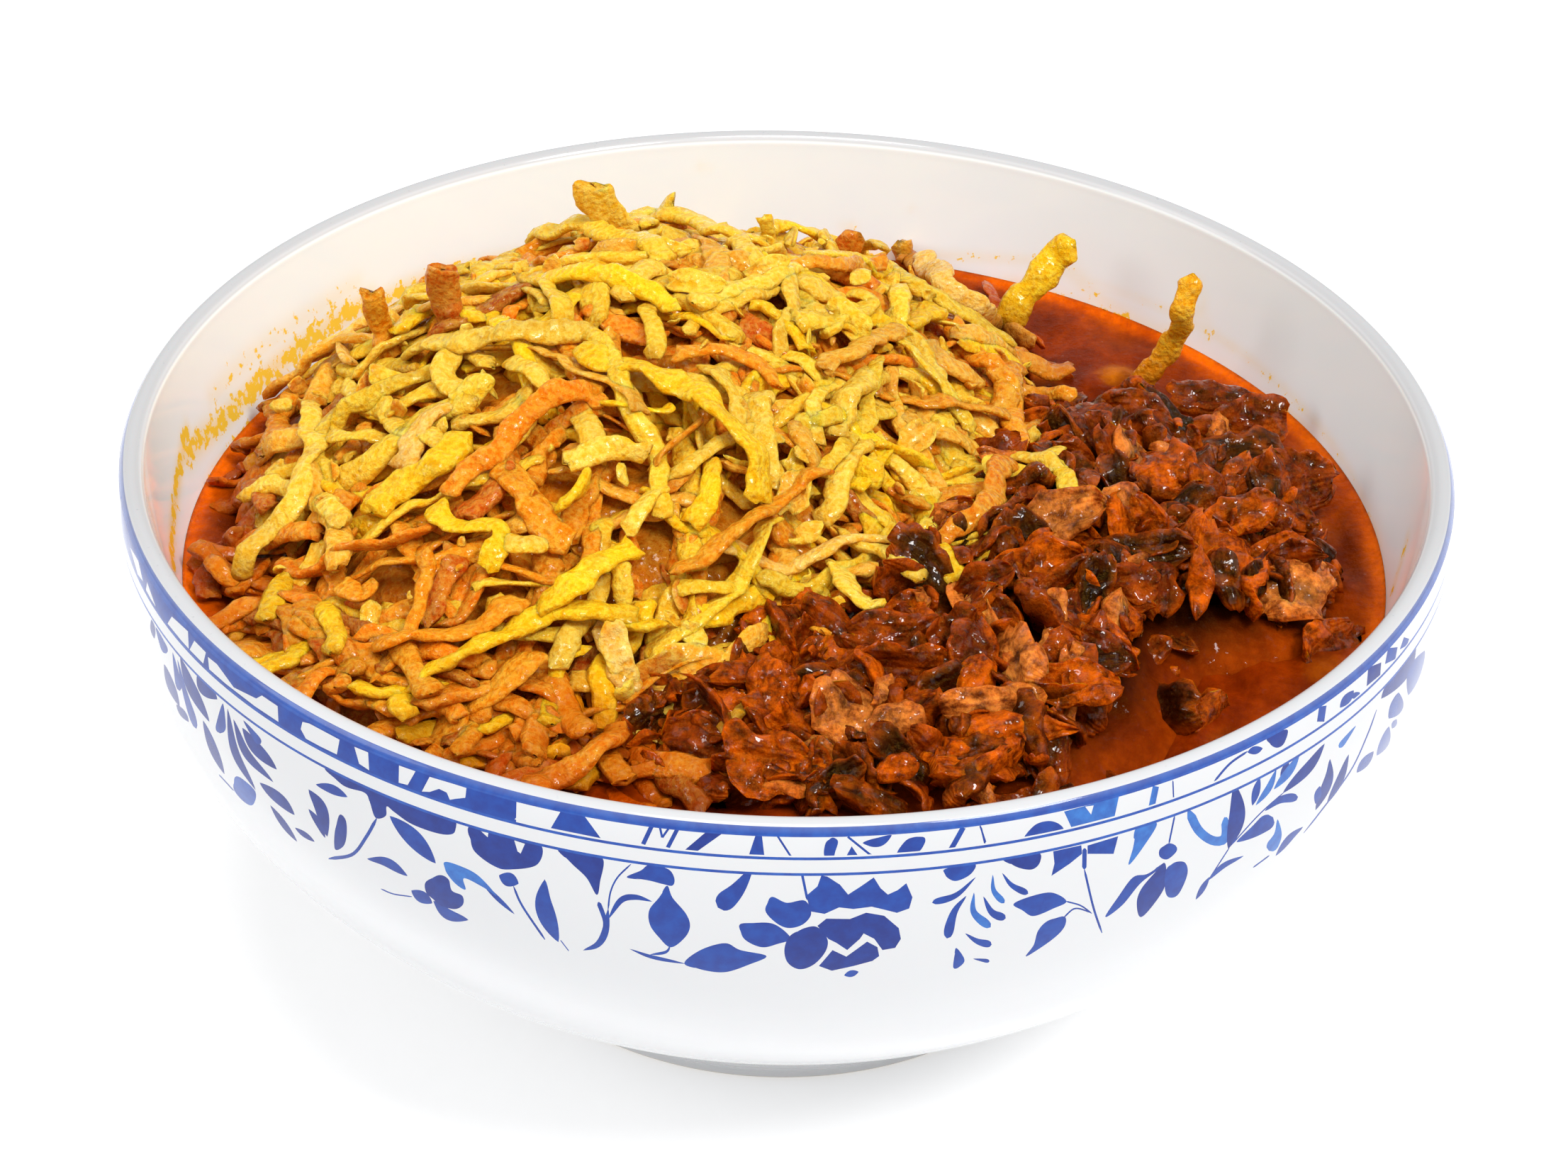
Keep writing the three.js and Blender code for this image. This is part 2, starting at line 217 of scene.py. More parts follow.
def heap_height(heap, x, y):
    share = edge_share(heap, x, y)
    dome = STEW_TOP + EDGE_STEP + (heap["rise"] - EDGE_STEP) * (1 - share**2)
    return np.where(share < 1, dome, STEW_TOP)


def food_height(x, y):
    """Height of the bare contents: the stew and both heaps"""
    return np.maximum(heap_height(POTATO_HEAP, x, y), heap_height(ONION_HEAP, x, y))


def food_from_photo(pixels, lift):
    """Points that lie a height over the bare contents, at pixels of the photograph"""
    lift = np.broadcast_to(lift, len(pixels))
    repeated = {}

    def depth(points):
        repeat = len(points) // len(lift)
        if repeat not in repeated:
            repeated[repeat] = np.repeat(lift, repeat)
        return food_height(points[:, 0], points[:, 1]) + repeated[repeat] - points[:, 2]

    return first_hits(pixels, depth)


def keep_in_bowl(points, margin):
    """Moves points inward that would cross the bowl's wall"""
    points = np.array(points, float)
    radius = np.hypot(points[:, 0], points[:, 1])
    limit = inside_radius(np.clip(points[:, 2], WELL_HEIGHT, LIP_CENTRE[1])) - margin
    points[:, :2] *= np.minimum(1, limit / np.maximum(radius, 1e-6))[:, None]
    return points


# Noise, colours and meshes
def grain(points, size, seed=0):
    """Smooth noise from -1 to 1 whose lumps are about this size"""
    place = np.asarray(points, float) / size + 1000 + seed * 17.13
    cell = np.floor(place).astype(np.int64)
    part = place - cell
    part = part * part * (3 - 2 * part)
    total = np.zeros(len(place))
    for corner in itertools.product((0, 1), repeat=3):
        key = (cell + corner) * np.array([73856093, 19349663, 83492791])
        mixed = key[:, 0] ^ key[:, 1] ^ key[:, 2]
        mixed = ((mixed ^ (mixed >> 13)) * 1274126177) & 0xFFFFFFFF
        value = ((mixed ^ (mixed >> 15)) & 0xFFFF) / 32767.5 - 1
        total += value * np.prod(np.where(corner, part, 1 - part), axis=1)
    return total


def linear(red, green, blue):
    """An 8-bit display colour as linear light"""
    channels = np.array([red, green, blue], float) / 255
    return np.where(channels <= 0.04045, channels / 12.92, ((channels + 0.055) / 1.055) ** 2.4)


def blend(low, high, share):
    share = np.clip(np.asarray(share, float), 0, 1)
    return low + (high - low) * share[..., None]


def spline(points, count):
    """A smooth curve through the points, at even shares of its length"""
    points = np.asarray(points, float)
    padded = np.vstack([2 * points[0] - points[1], points, 2 * points[-1] - points[-2]])
    pieces = []
    for i in range(len(points) - 1):
        a, b, c, d = padded[i : i + 4]
        share = np.linspace(0, 1, 12, endpoint=i == len(points) - 2)[:, None]
        bend = (2 * a - 5 * b + 4 * c - d) * share**2 + (3 * b - a - 3 * c + d) * share**3
        pieces.append(0.5 * (2 * b + (c - a) * share + bend))
    curve = np.vstack(pieces)
    length = np.concatenate([[0], np.cumsum(np.linalg.norm(np.diff(curve, axis=0), axis=1))])
    even = np.linspace(0, length[-1], count)
    return np.stack([np.interp(even, length, curve[:, k]) for k in range(points.shape[1])], axis=1)


class Batch:
    """Many small shapes gathered into one mesh, with values at their vertices"""

    def __init__(self):
        self.points = []
        self.faces = {}
        self.layers = {}
        self.count = 0

    def add(self, points, *faces, **layers):
        for group in faces:
            group = np.asarray(group)
            self.faces.setdefault(group.shape[1], []).append(group + self.count)
        for name, values in layers.items():
            spread = np.broadcast_to(values, (len(points), *np.shape(values)[1:]))
            self.layers.setdefault(name, []).append(spread)
        self.points.append(points)
        self.count += len(points)

    def piece(self, name, material, slot, *nodes):
        points = np.vstack(self.points)
        groups = [np.vstack(found) for found in self.faces.values()]
        layers = {key: np.concatenate(values) for key, values in self.layers.items()}
        return add_piece(name, points, groups, material, nodes, layers)


def add_piece(name, points, face_groups, material, nodes=(), layers=None, normals=None):
    """A mesh object that rides on the bowl and stands for the nodes"""
    mesh = bpy.data.meshes.new(name)
    corners = np.concatenate([group.ravel() for group in face_groups])
    sizes = np.concatenate([np.full(len(group), group.shape[1]) for group in face_groups])
    mesh.vertices.add(len(points))
    mesh.vertices.foreach_set("co", (np.asarray(points) * MM).astype(np.float32).ravel())
    mesh.loops.add(len(corners))
    mesh.loops.foreach_set("vertex_index", corners.astype(np.int32))
    mesh.polygons.add(len(sizes))
    mesh.polygons.foreach_set("loop_start", (np.cumsum(sizes) - sizes).astype(np.int32))
    mesh.polygons.foreach_set("use_smooth", np.ones(len(sizes), bool))
    mesh.update(calc_edges=True)
    for key, values in (layers or {}).items():
        values = np.asarray(values, np.float32)
        domain = "POINT" if len(values) == len(points) else "CORNER"
        if values.ndim == 2:
            layer = mesh.attributes.new(key, "FLOAT_COLOR", domain)
            alpha = np.ones((len(values), 1), np.float32)
            colours = values if values.shape[1] == 4 else np.hstack([values, alpha])
            layer.data.foreach_set("color", colours.ravel())
        else:
            layer = mesh.attributes.new(key, "FLOAT", domain)
            layer.data.foreach_set("value", values)
    if normals is not None:
        mesh.normals_split_custom_set_from_vertices([tuple(n) for n in normals])
    mesh.materials.append(material)
    piece = bpy.data.objects.new(name, mesh)
    bpy.context.scene.collection.objects.link(piece)
    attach(piece, "root")
    if nodes:
        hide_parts(*nodes)
    return piece


def sheet_faces(rows, columns, closed):
    """Quads of a grid of vertices, joined round in its columns where closed"""
    across = np.arange(columns if closed else columns - 1)
    row, column = np.meshgrid(np.arange(rows - 1), across, indexing="ij")
    here = row * columns + column
    aside = row * columns + (column + 1) % columns
    return np.stack([here, aside, aside + columns, here + columns], axis=-1).reshape(-1, 4)


# Materials
class Surface:
    """A material that is put together from shader nodes"""

    def __init__(self, name):
        self.material = bpy.data.materials.new(name)
        self.material.use_nodes = True
        self.tree = self.material.node_tree
        self.shader = self.tree.nodes["Principled BSDF"]

    def add(self, kind, **inputs):
        node = self.tree.nodes.new("ShaderNode" + kind)
        for key, value in inputs.items():
            self.feed(node.inputs[key.replace("_", " ")], value)
        return node

    def feed(self, socket, value):
        if isinstance(value, bpy.types.NodeSocket):
            self.tree.links.new(value, socket)
        elif hasattr(value, "__len__") and len(value) == 3 and socket.type == "RGBA":
            socket.default_value = (*value, 1)
        else:
            socket.default_value = value

    def set(self, **inputs):
        for key, value in inputs.items():
            self.feed(self.shader.inputs[key.replace("_", " ")], value)

    def layer(self, name, output="Fac"):
        node = self.add("Attribute")
        node.attribute_name = name
        return node.outputs[output]

    def noise(self, size, detail=2.0, roughness=0.5, stretch=(1, 1, 1)):
        """Noise from 0 to 1 with lumps of about this size in millimetres"""
        place = self.add("TexCoord").outputs["Object"]
        mapping = self.add("Mapping", Vector=place, Scale=tuple(s / (size * MM) for s in stretch))
        node = self.add("TexNoise", Vector=mapping.outputs["Vector"], Scale=1.0, Detail=detail)
        node.inputs["Roughness"].default_value = roughness
        return node.outputs["Fac"]

    def bubbles(self, size):
        """Rounded blisters of about this size in millimetres, highest on their tops"""
        place = self.add("TexCoord").outputs["Object"]
        mapping = self.add("Mapping", Vector=place, Scale=(1 / (size * MM),) * 3)
        node = self.add("TexVoronoi", Vector=mapping.outputs["Vector"], Scale=1.0)
        return self.math("SUBTRACT", 1.0, node.outputs["Distance"])

    def steps(self, value, low, high, start=0.0, end=1.0):
        """Value mapped smoothly from low..high to start..end"""
        node = self.add("MapRange", Value=value)
        node.interpolation_type = "SMOOTHSTEP"
        for key, number in (("From Min", low), ("From Max", high), ("To Min", start), ("To Max", end)):
            self.feed(node.inputs[key], number)
        return node.outputs["Result"]

    def math(self, operation, a, b=0.0):
        node = self.tree.nodes.new("ShaderNodeMath")
        node.operation = operation
        self.feed(node.inputs[0], a)
        self.feed(node.inputs[1], b)
        return node.outputs[0]

    def mix(self, share, low, high, kind="MIX"):
        node = self.tree.nodes.new("ShaderNodeMix")
        node.data_type = "RGBA"
        node.blend_type = kind
        self.feed(node.inputs["Factor"], share)
        self.feed(node.inputs[6], low)
        self.feed(node.inputs[7], high)
        return node.outputs[2]

    def bump(self, height, distance, strength=1.0):
        node = self.add("Bump", Height=height, Distance=distance * MM, Strength=strength)
        self.set(Normal=node.outputs["Normal"])

    def wet_bump(self, size, distance):
        """Smoother bumps for the coat alone, so that it glints like wet food"""
        node = self.add("Bump", Height=self.noise(size, 1), Distance=distance * MM, Strength=1.0)
        self.set(Coat_Normal=node.outputs["Normal"])


# One porcelain in two colours: the inside is painted brighter and bluer than the outside, as painted light on
# the inner wall
PORCELAIN = linear(205, 206, 208)
LIT_INNER_PORCELAIN = linear(247, 254, 255)
TURMERIC = linear(255, 206, 12)
LIP_SHADE_GREY = linear(180, 180, 181)
SPECK_GREY = linear(150, 152, 158)
BARE_CLAY = linear(206, 200, 190)


def porcelain_material():
    surface = Surface("glazed_porcelain")
    cloud = surface.noise(1.6, 4, 0.6)
    pooled = surface.steps(cloud, 0.3, 0.7, 0.72, 1.25)
    pooled_blue = surface.steps(cloud, 0.3, 0.7, 0.86, 1.12)
    brush = surface.add("CombineColor", Red=pooled, Green=pooled, Blue=pooled_blue)
    cobalt = surface.mix(1.0, surface.layer("paint", "Color"), brush.outputs["Color"], "MULTIPLY")
    glaze = surface.mix(surface.layer("inside"), PORCELAIN, LIT_INNER_PORCELAIN)
    painted = surface.mix(surface.layer("paint", "Alpha"), glaze, cobalt)
    stain = surface.layer("stain")
    dots = surface.noise(1.3, 3, 0.6)
    reach = surface.math("SUBTRACT", 0.8, surface.math("MULTIPLY", stain, 0.45))
    seen = surface.steps(surface.math("SUBTRACT", dots, reach), 0.0, 0.1)
    film = surface.math("MULTIPLY", surface.math("POWER", stain, 2.0), 0.6)
    cover = surface.math("MAXIMUM", surface.math("MULTIPLY", seen, 0.95), film)
    stained = surface.mix(cover, painted, TURMERIC)
    specks = surface.steps(surface.noise(0.8, 4, 0.7), 0.63, 0.72)
    lip_wear_and_shade = surface.math("MULTIPLY", surface.layer("lip_wear_and_shade"), specks)
    # Painted shade: the lip is greyed, most at the back and least at the front. The grey specks below are
    # real wear.
    lip = surface.mix(surface.math("MULTIPLY", surface.layer("lip_wear_and_shade"), 0.9), stained, LIP_SHADE_GREY)
    worn_and_shaded_lip = surface.mix(surface.math("MULTIPLY", lip_wear_and_shade, 0.6), lip, SPECK_GREY)
    bare = surface.layer("bare")
    surface.set(Base_Color=surface.mix(bare, worn_and_shaded_lip, BARE_CLAY))
    surface.set(Roughness=surface.steps(bare, 0, 1, 0.09, 0.7), Coat_Weight=0.1, Coat_Roughness=0.05)
    surface.set(Specular_IOR_Level=0.3, Subsurface_Weight=0.06, Subsurface_Scale=1.2 * MM)
    surface.bump(surface.noise(9.0, 2), 0.04, 0.5)
    return surface.material


def straw_material():
    surface = Surface("fried_potato")
    tint = surface.layer("tint", "Color")
    cloud = surface.noise(0.8, 4, 0.65)
    blisters = surface.math("MULTIPLY", surface.bubbles(0.8), 0.3)
    knobs = surface.math("ADD", surface.math("MULTIPLY", cloud, 0.7), blisters)
    # Painted light: the bump tops are mixed paler as a painted highlight and the hollows darker as painted
    # shade. Soaked parts take the darker hollow colour.
    tops = surface.steps(cloud, 0.32, 0.66)
    hollow_shade_and_soak = surface.mix(1.0, tint, linear(248, 220, 104), "MULTIPLY")
    painted_top_highlight = surface.mix(0.2, tint, linear(255, 232, 92))
    flesh_with_painted_light = surface.mix(tops, hollow_shade_and_soak, painted_top_highlight)
    wet = surface.layer("wet")
    surface.set(Base_Color=surface.mix(wet, flesh_with_painted_light, hollow_shade_and_soak), Roughness=surface.steps(wet, 0, 1, 0.3, 0.16))
    surface.set(Specular_IOR_Level=0.22, Specular_Tint=(1.0, 0.7, 0.15, 1.0), Coat_Roughness=0.1)
    surface.set(Coat_Weight=surface.math("MULTIPLY", surface.steps(knobs, 0.5, 0.58), 0.65))
    surface.set(Subsurface_Weight=0.5, Subsurface_Radius=(1.0, 0.7, 0.25), Subsurface_Scale=0.9 * MM)
    surface.bump(knobs, 0.9, surface.steps(wet, 0, 1, 1.0, 0.6))
    surface.wet_bump(0.9, 0.22)
    return surface.material


def onion_material():
    surface = Surface("fried_onion")
    relief = surface.noise(1.1, 5, 0.6)
    blotch = surface.steps(surface.noise(1.8, 5, 0.7), 0.3, 0.7, 0.12, 1.4)
    shade = surface.add("CombineColor", Red=surface.math("POWER", blotch, 0.8), Green=blotch, Blue=blotch)
    tint = surface.mix(1.0, surface.layer("tint", "Color"), shade.outputs["Color"], "MULTIPLY")
    ribs = surface.math("SINE", surface.math("MULTIPLY", surface.layer("rib"), 2 * math.pi))
    surface.set(Base_Color=tint, Roughness=surface.steps(surface.noise(0.8, 2), 0.3, 0.7, 0.08, 0.22))
    surface.set(Specular_IOR_Level=0.22, Specular_Tint=(1.0, 0.55, 0.08, 1.0), Coat_Roughness=0.03)
    surface.set(Coat_Weight=surface.steps(relief, 0.53, 0.58, 0.0, 0.8))
    surface.set(Subsurface_Weight=0.5, Subsurface_Radius=(1.0, 0.35, 0.05), Subsurface_Scale=1.5 * MM)
    surface.bump(surface.math("ADD", surface.math("MULTIPLY", ribs, 0.08), relief), 0.6, 1.0)
    surface.wet_bump(1.3, 0.4)
    return surface.material


def sauce_material():
    surface = Surface("stew_sauce")
    swirl = surface.steps(surface.noise(5.0, 5, 0.6, (1, 0.45, 1)), 0.3, 0.72, 0.55, 1.3)
    mottle = surface.steps(surface.noise(1.3, 3, 0.6), 0.3, 0.7, 0.82, 1.12)
    value = surface.math("MULTIPLY", swirl, mottle)
    shade = surface.add("CombineColor", Red=surface.math("POWER", value, 0.7), Green=value, Blue=value)
    tint = surface.mix(1.0, surface.layer("tint", "Color"), shade.outputs["Color"], "MULTIPLY")
    pepper = surface.steps(surface.noise(0.55, 1), 0.8, 0.84)
    surface.set(Base_Color=surface.mix(surface.math("MULTIPLY", pepper, 0.8), tint, linear(40, 12, 4)))
    surface.set(Roughness=surface.steps(swirl, 0.5, 1.2, 0.08, 0.2))
    surface.set(Specular_IOR_Level=0.04, Specular_Tint=(1.0, 0.5, 0.08, 1.0))
    wet_spots = surface.steps(surface.noise(0.9, 4, 0.6), 0.6, 0.68, 0.0, 0.35)
    surface.set(Coat_Weight=wet_spots, Coat_Roughness=0.04, Subsurface_Weight=0.2)
    surface.set(Subsurface_Radius=(1.0, 0.3, 0.04), Subsurface_Scale=1.5 * MM)
    surface.bump(surface.noise(1.1, 5, 0.6), 0.4, 0.8)
    surface.wet_bump(1.6, 0.3)
    return surface.material


# The painted frieze under the glaze. Each patch of it is drawn as the photograph shows it,
# from a corner of the patch and at a zoom, and carried onto the wall by the camera's rays.
COBALT_LINE = linear(24, 72, 158)
COBALT_DARK = linear(2, 40, 126)
COBALT = linear(6, 56, 144)
COBALT_LIGHT = linear(40, 98, 176)
RINGS = ((0.95, 2.0), (4.45, 4.8), (6.4, 6.75))
BAND_TOP = 0.6
BAND_BOTTOM = 27.0
SEGMENTS = 288
HALF_TURN = math.pi * RIM_RADIUS
WHITE = None
SIDE_REACH = 21.0
STRIP_START = -125.6
BAND_ROWS = 15
LOWER_ROWS = 34
INNER_ROWS = 150
WORN_AND_SHADED_DEPTH = 0.45


class Patch:
    """Brush strokes in one zoomed part of the photograph"""

    strokes = []

    def __init__(self, corner, zoom):
        self.corner = np.array(corner, float)
        self.zoom = zoom

    def outline(self, colour, *points, smooth=True):
        """A filled shape with a smooth or a straight outline"""
        points = np.array(points, float)
        if smooth:
            looped = np.vstack([points[-1:], points, points[:1]])
            points = spline(looped, 14 * len(points))
            turn = len(points) // (len(looped) - 1)
            points = points[turn // 2 : -(turn // 2) - 1]
        Patch.strokes.append((self.corner + points / self.zoom, colour))

    def stroke(self, colour, width, swell, points):
        """A brush stroke along a curve, with its width at each share of the length"""
        points = np.array(points, float)
        line = spline(points, 22) if len(points) > 2 else np.linspace(points[0], points[1], 22)
        heading = np.gradient(line, axis=0)
        heading /= np.linalg.norm(heading, axis=1, keepdims=True) + 1e-9
        aside = np.stack([-heading[:, 1], heading[:, 0]], axis=1)
        half = (width / 2) * swell(np.linspace(0, 1, len(line)))[:, None] + 0.35
        shape = np.vstack([line + aside * half, (line - aside * half)[::-1]])
        Patch.strokes.append((self.corner + shape / self.zoom, colour))

    def leaf(self, width, *points, colour=COBALT):
        self.stroke(colour, width, lambda t: np.sin(math.pi * t) ** 0.8, points)

    def club(self, width, *points, colour=COBALT):
        def swell(t):
            return t**0.7 * np.sqrt(1 - np.clip((t - 0.72) / 0.28, 0, 1) ** 2)

        self.stroke(colour, width, swell, points)

    def stem(self, width, *points, colour=COBALT):
        self.stroke(colour, width, lambda t: np.minimum(1, np.minimum(t, 1 - t) * 8 + 0.3), points)

    def bar(self, width, *points, colour=COBALT):
        self.stroke(colour, width, lambda t: np.ones_like(t), points)


def draw_left_edge():
    patch = Patch((150, 760), 3.336)
    for width, *points in (
        (22, (212, 380), (226, 470)),
        (35, (272, 590), (300, 680), (345, 790)),
        (28, (330, 780), (388, 862)),
        (45, (348, 560), (400, 700), (485, 862)),
        (60, (428, 636), (470, 710), (522, 756)),
        (38, (455, 855), (500, 980), (556, 1108)),
        (35, (570, 800), (605, 1000), (702, 1182)),
        (36, (598, 850), (660, 1010), (786, 1146)),
        (52, (640, 890), (700, 980), (802, 1086)),
        (48, (722, 1148), (820, 1230), (886, 1300)),
        (28, (772, 1255), (840, 1350), (898, 1426)),
        (24, (888, 1360), (980, 1426)),
        (56, (952, 1180), (1010, 1270), (1040, 1402)),
        (30, (952, 1272), (1000, 1340), (1030, 1408)),
    ):
        patch.leaf(width, *points, colour=COBALT_DARK)
    for width, *points in (
        (36, (232, 415), (282, 540)),
        (34, (312, 535), (346, 716)),
        (36, (335, 570), (372, 730), (424, 895)),
        (58, (548, 775), (536, 916)),
        (36, (645, 855), (726, 966)),
    ):
        patch.club(width, *points)
    patch.outline(COBALT_LINE, (605, 1122), (640, 1130), (702, 1192), (690, 1252), (650, 1240), (600, 1180))
    patch.stem(5, (530, 1110), (600, 1186))


def draw_left():
    patch = Patch((400, 980), 4.126)
    for width, *points in (
        (52, (188, 522), (270, 545), (372, 596)),
        (52, (486, 955), (600, 975), (722, 1056)),
        (94, (618, 706), (760, 840), (886, 982)),
        (60, (872, 1200), (960, 1280), (1076, 1312)),
        (66, (744, 1140), (866, 1214)),
        (80, (1254, 1052), (1368, 1100)),
        (104, (1520, 1075), (1515, 1230), (1600, 1440)),
        (26, (1150, 1090), (1240, 1180), (1345, 1278)),
    ):
        patch.leaf(width, *points)
    patch.stem(20, (262, 955), (400, 930), (480, 830), (542, 720))
    patch.outline(COBALT_DARK, (325, 700), (362, 730), (368, 810), (350, 880), (300, 900), (298, 800))
    patch.outline(
        COBALT_DARK, (240, 428), (420, 480), (560, 540), (760, 610), (980, 700), (1000, 790), (960, 815),
        (870, 800), (740, 750), (640, 680), (600, 650), (595, 706), (535, 716), (500, 620),
            (470, 570), (350, 530),
    )
    patch.outline(COBALT_DARK, (905, 1050), (960, 1075), (980, 1140), (1040, 1170), (1045, 1220),
        (1000, 1248),
                  (920, 1230), (870, 1190), (830, 1150), (828, 1090))
    patch.outline(COBALT_LIGHT, (935, 975), (1010, 990), (1130, 1050), (1240, 1170), (1160, 1120),
        (1050, 1068), (1060, 1135), (1000, 1100), (945, 1030))
    patch.outline(COBALT_DARK, (1085, 765), (1300, 830), (1495, 872), (1475, 990), (1310, 1018),
        (1230, 1000), (1140, 940), (1095, 880))
    patch.outline(WHITE, (1343, 848), (1405, 868), (1380, 925), (1362, 912), smooth=False)
    patch.outline(WHITE, (1150, 795), (1192, 805), (1188, 830), smooth=False)
    patch.stem(7, (566, 1130), (640, 1160), (748, 1176))
    patch.stem(12, (1338, 1115), (1390, 1230), (1522, 1426))


def draw_front_left():
    patch = Patch((700, 1080), 3.92)
    patch.outline(COBALT_DARK, (340, 462), (480, 488), (590, 515), (575, 640), (556, 716), (500, 622),
        (420, 545))
    patch.stem(9, (745, 545), (670, 620), (632, 700), (618, 800))
    patch.stem(24, (565, 755), (600, 850), (602, 900))
    patch.leaf(34, (618, 850), (690, 745), (770, 728), (862, 752))
    patch.leaf(40, (620, 790), (602, 920), (560, 990), (480, 1022))
    patch.outline(COBALT, (722, 618), (800, 580), (850, 548), (950, 572), (985, 622), (975, 664),
        (920, 655), (840, 635))
    patch.outline(COBALT, (945, 664), (975, 730), (1050, 820), (1072, 890), (1040, 955), (965, 1005),
        (900, 950), (850, 880), (846, 800), (900, 730))
    patch.leaf(16, (965, 985), (940, 1030), (850, 1046))
    patch.leaf(20, (738, 1014), (860, 1058), (1045, 1096))
    patch.outline(COBALT, (1040, 1095), (1130, 1020), (1265, 982), (1350, 1020), (1495, 1053),
        (1400, 1100), (1270, 1142), (1150, 1132))
    patch.club(132, (1420, 560), (1330, 690), (1225, 785))
    patch.stem(5, (355, 965), (402, 1026))


def draw_peony():
    patch = Patch((1000, 1100), 3.92)
    patch.outline(COBALT, (168, 804), (240, 792), (360, 798), (452, 876), (380, 908), (290, 926), (195, 880))
    patch.outline(COBALT, (345, 648), (430, 680), (530, 668), (566, 740), (520, 800), (440, 820),
        (370, 790), (312, 722))
    patch.outline(
        COBALT, (540, 640), (600, 590), (622, 530), (655, 535), (725, 580), (770, 635), (840, 590),
            (912, 540),
        (950, 600), (990, 635), (1045, 610), (1092, 572), (1126, 650), (1108, 712), (1040, 736), (960, 716),
        (900, 702), (800, 715), (720, 706), (640, 742), (560, 728), smooth=False,
    )
    patch.outline(COBALT_DARK, (530, 820), (600, 815), (655, 880), (645, 950), (580, 1022), (500, 1048),
        (435, 1010), (418, 935), (450, 862))
    patch.outline(COBALT_DARK, (600, 808), (650, 768), (780, 770), (870, 735), (970, 752), (1050, 820),
        (1062, 880),
                  (1030, 930), (960, 942), (915, 880), (856, 850), (835, 880), (765, 942),
                      (705, 902), (660, 880), smooth=False)
    patch.outline(COBALT_DARK, (608, 1030), (684, 942), (760, 978), (875, 895), (932, 925), (942, 975),
        (905, 1002), (800, 1030), (680, 1056), smooth=False)
    patch.leaf(36, (748, 1082), (828, 1062))
    patch.stem(14, (515, 520), (545, 665))


def draw_spray():
    patch = Patch((1300, 1050), 3.92)
    patch.outline(COBALT, (130, 690), (292, 660), (272, 718), (190, 756), (135, 730))
    for width, light, *points in (
        (46, False, (300, 735), (190, 835), (58, 876)),
        (66, False, (248, 838), (180, 930), (140, 1074)),
        (60, True, (290, 820), (290, 930), (382, 1012)),
        (56, False, (342, 842), (390, 930), (466, 962)),
        (44, True, (394, 722), (400, 810), (458, 878)),
        (46, False, (446, 712), (500, 780), (590, 826)),
        (50, False, (242, 1046), (310, 1090), (388, 1108)),
        (26, False, (286, 1186), (376, 1200)),
    ):
        patch.club(width, *points, colour=COBALT_LIGHT if light else COBALT)
    patch.outline(COBALT, (192, 1126), (238, 1192), (205, 1234), (176, 1236), (180, 1180))
    patch.outline(COBALT_DARK, (452, 632), (640, 598), (656, 650), (612, 692), (530, 680))
    patch.outline(COBALT, (728, 592), (884, 558), (888, 605), (820, 660), (718, 728), (735, 660),
        smooth=False)
    patch.outline(COBALT, (918, 560), (1088, 508), (1062, 606), (918, 606), smooth=False)
    patch.stem(24, (902, 575), (900, 690))
    patch.stem(12, (900, 690), (950, 900), (998, 1044))
    patch.outline(COBALT, (508, 884), (600, 842), (720, 820), (802, 868), (730, 908), (620, 950), (560, 920))
    patch.outline(COBALT, (790, 952), (790, 1010), (720, 1082), (578, 1174), (620, 1110), (645, 1030),
        (700, 975))
    patch.stem(8, (798, 868), (880, 892), (942, 936))
    patch.stem(8, (786, 958), (850, 908), (938, 930))
    patch.outline(COBALT_LIGHT, (1188, 462), (1302, 436), (1232, 560), (1146, 668), (1170, 570))
    patch.stem(9, (1400, 395), (1368, 550))
    patch.outline(COBALT, (1365, 548), (1405, 560), (1410, 592), (1360, 636), (1318, 622), (1318, 580))
    patch.outline(COBALT, (1342, 655), (1300, 700), (1210, 770), (1110, 890), (1015, 956), (1090, 840),
        (1170, 735), (1250, 716))
    patch.outline(COBALT_DARK, (1345, 655), (1352, 760), (1310, 850), (1215, 956), (1190, 880),
        (1215, 800), (1290, 710))
    patch.outline(COBALT, (1402, 652), (1458, 655), (1470, 720), (1420, 830), (1365, 845), (1345, 790),
        (1355, 690))


def draw_right():
    patch = Patch((1600, 900), 3.409)
    patch.stem(44, (262, 830), (310, 925), (380, 975), (438, 960), (440, 862), colour=COBALT_LIGHT)
    for width, colour, *points in (
        (76, COBALT_DARK, (484, 700), (496, 850), (452, 1014)),
        (36, COBALT, (604, 672), (568, 806)),
        (30, COBALT_LIGHT, (684, 632), (648, 720), (585, 805)),
        (34, COBALT_DARK, (742, 590), (706, 688)),
        (38, COBALT_LIGHT, (795, 560), (745, 640), (672, 728)),
        (46, COBALT_DARK, (916, 508), (840, 620), (715, 746)),
        (30, COBALT, (680, 1048), (750, 960), (812, 908)),
        (24, COBALT, (526, 1048), (430, 1095), (352, 1168)),
        (44, COBALT_DARK, (872, 828), (935, 680), (942, 582)),
        (34, COBALT_DARK, (926, 798), (990, 680), (1032, 560)),
        (32, COBALT, (872, 798), (894, 712)),
        (40, COBALT, (1152, 545), (1070, 648)),
        (44, COBALT, (1226, 425), (1205, 500), (1166, 566)),
        (62, COBALT, (1272, 262), (1262, 330), (1224, 388)),
        (72, COBALT_DARK, (1355, 40), (1290, 160), (1188, 292)),
        (60, COBALT, (1398, 60), (1350, 160), (1318, 276)),
        (24, COBALT, (1262, 390), (1240, 436)),
    ):
        patch.leaf(width, *points, colour=colour)
    patch.club(52, (628, 832), (700, 780), (788, 764))
    patch.club(88, (492, 982), (580, 930), (668, 862))
    patch.club(64, (690, 872), (690, 950), (648, 1024), colour=COBALT_LIGHT)
    patch.club(30, (1066, 422), (985, 528), colour=COBALT_LIGHT)
    patch.stem(5, (462, 1002), (600, 850), (725, 738))
    patch.stem(5, (458, 1008), (360, 1160))
    patch.leaf(26, (362, 1150), (296, 1258))
    patch.stem(6, (650, 1046), (572, 1104))
    patch.stem(6, (1166, 345), (1120, 470), (1040, 640), (900, 830), (815, 938))


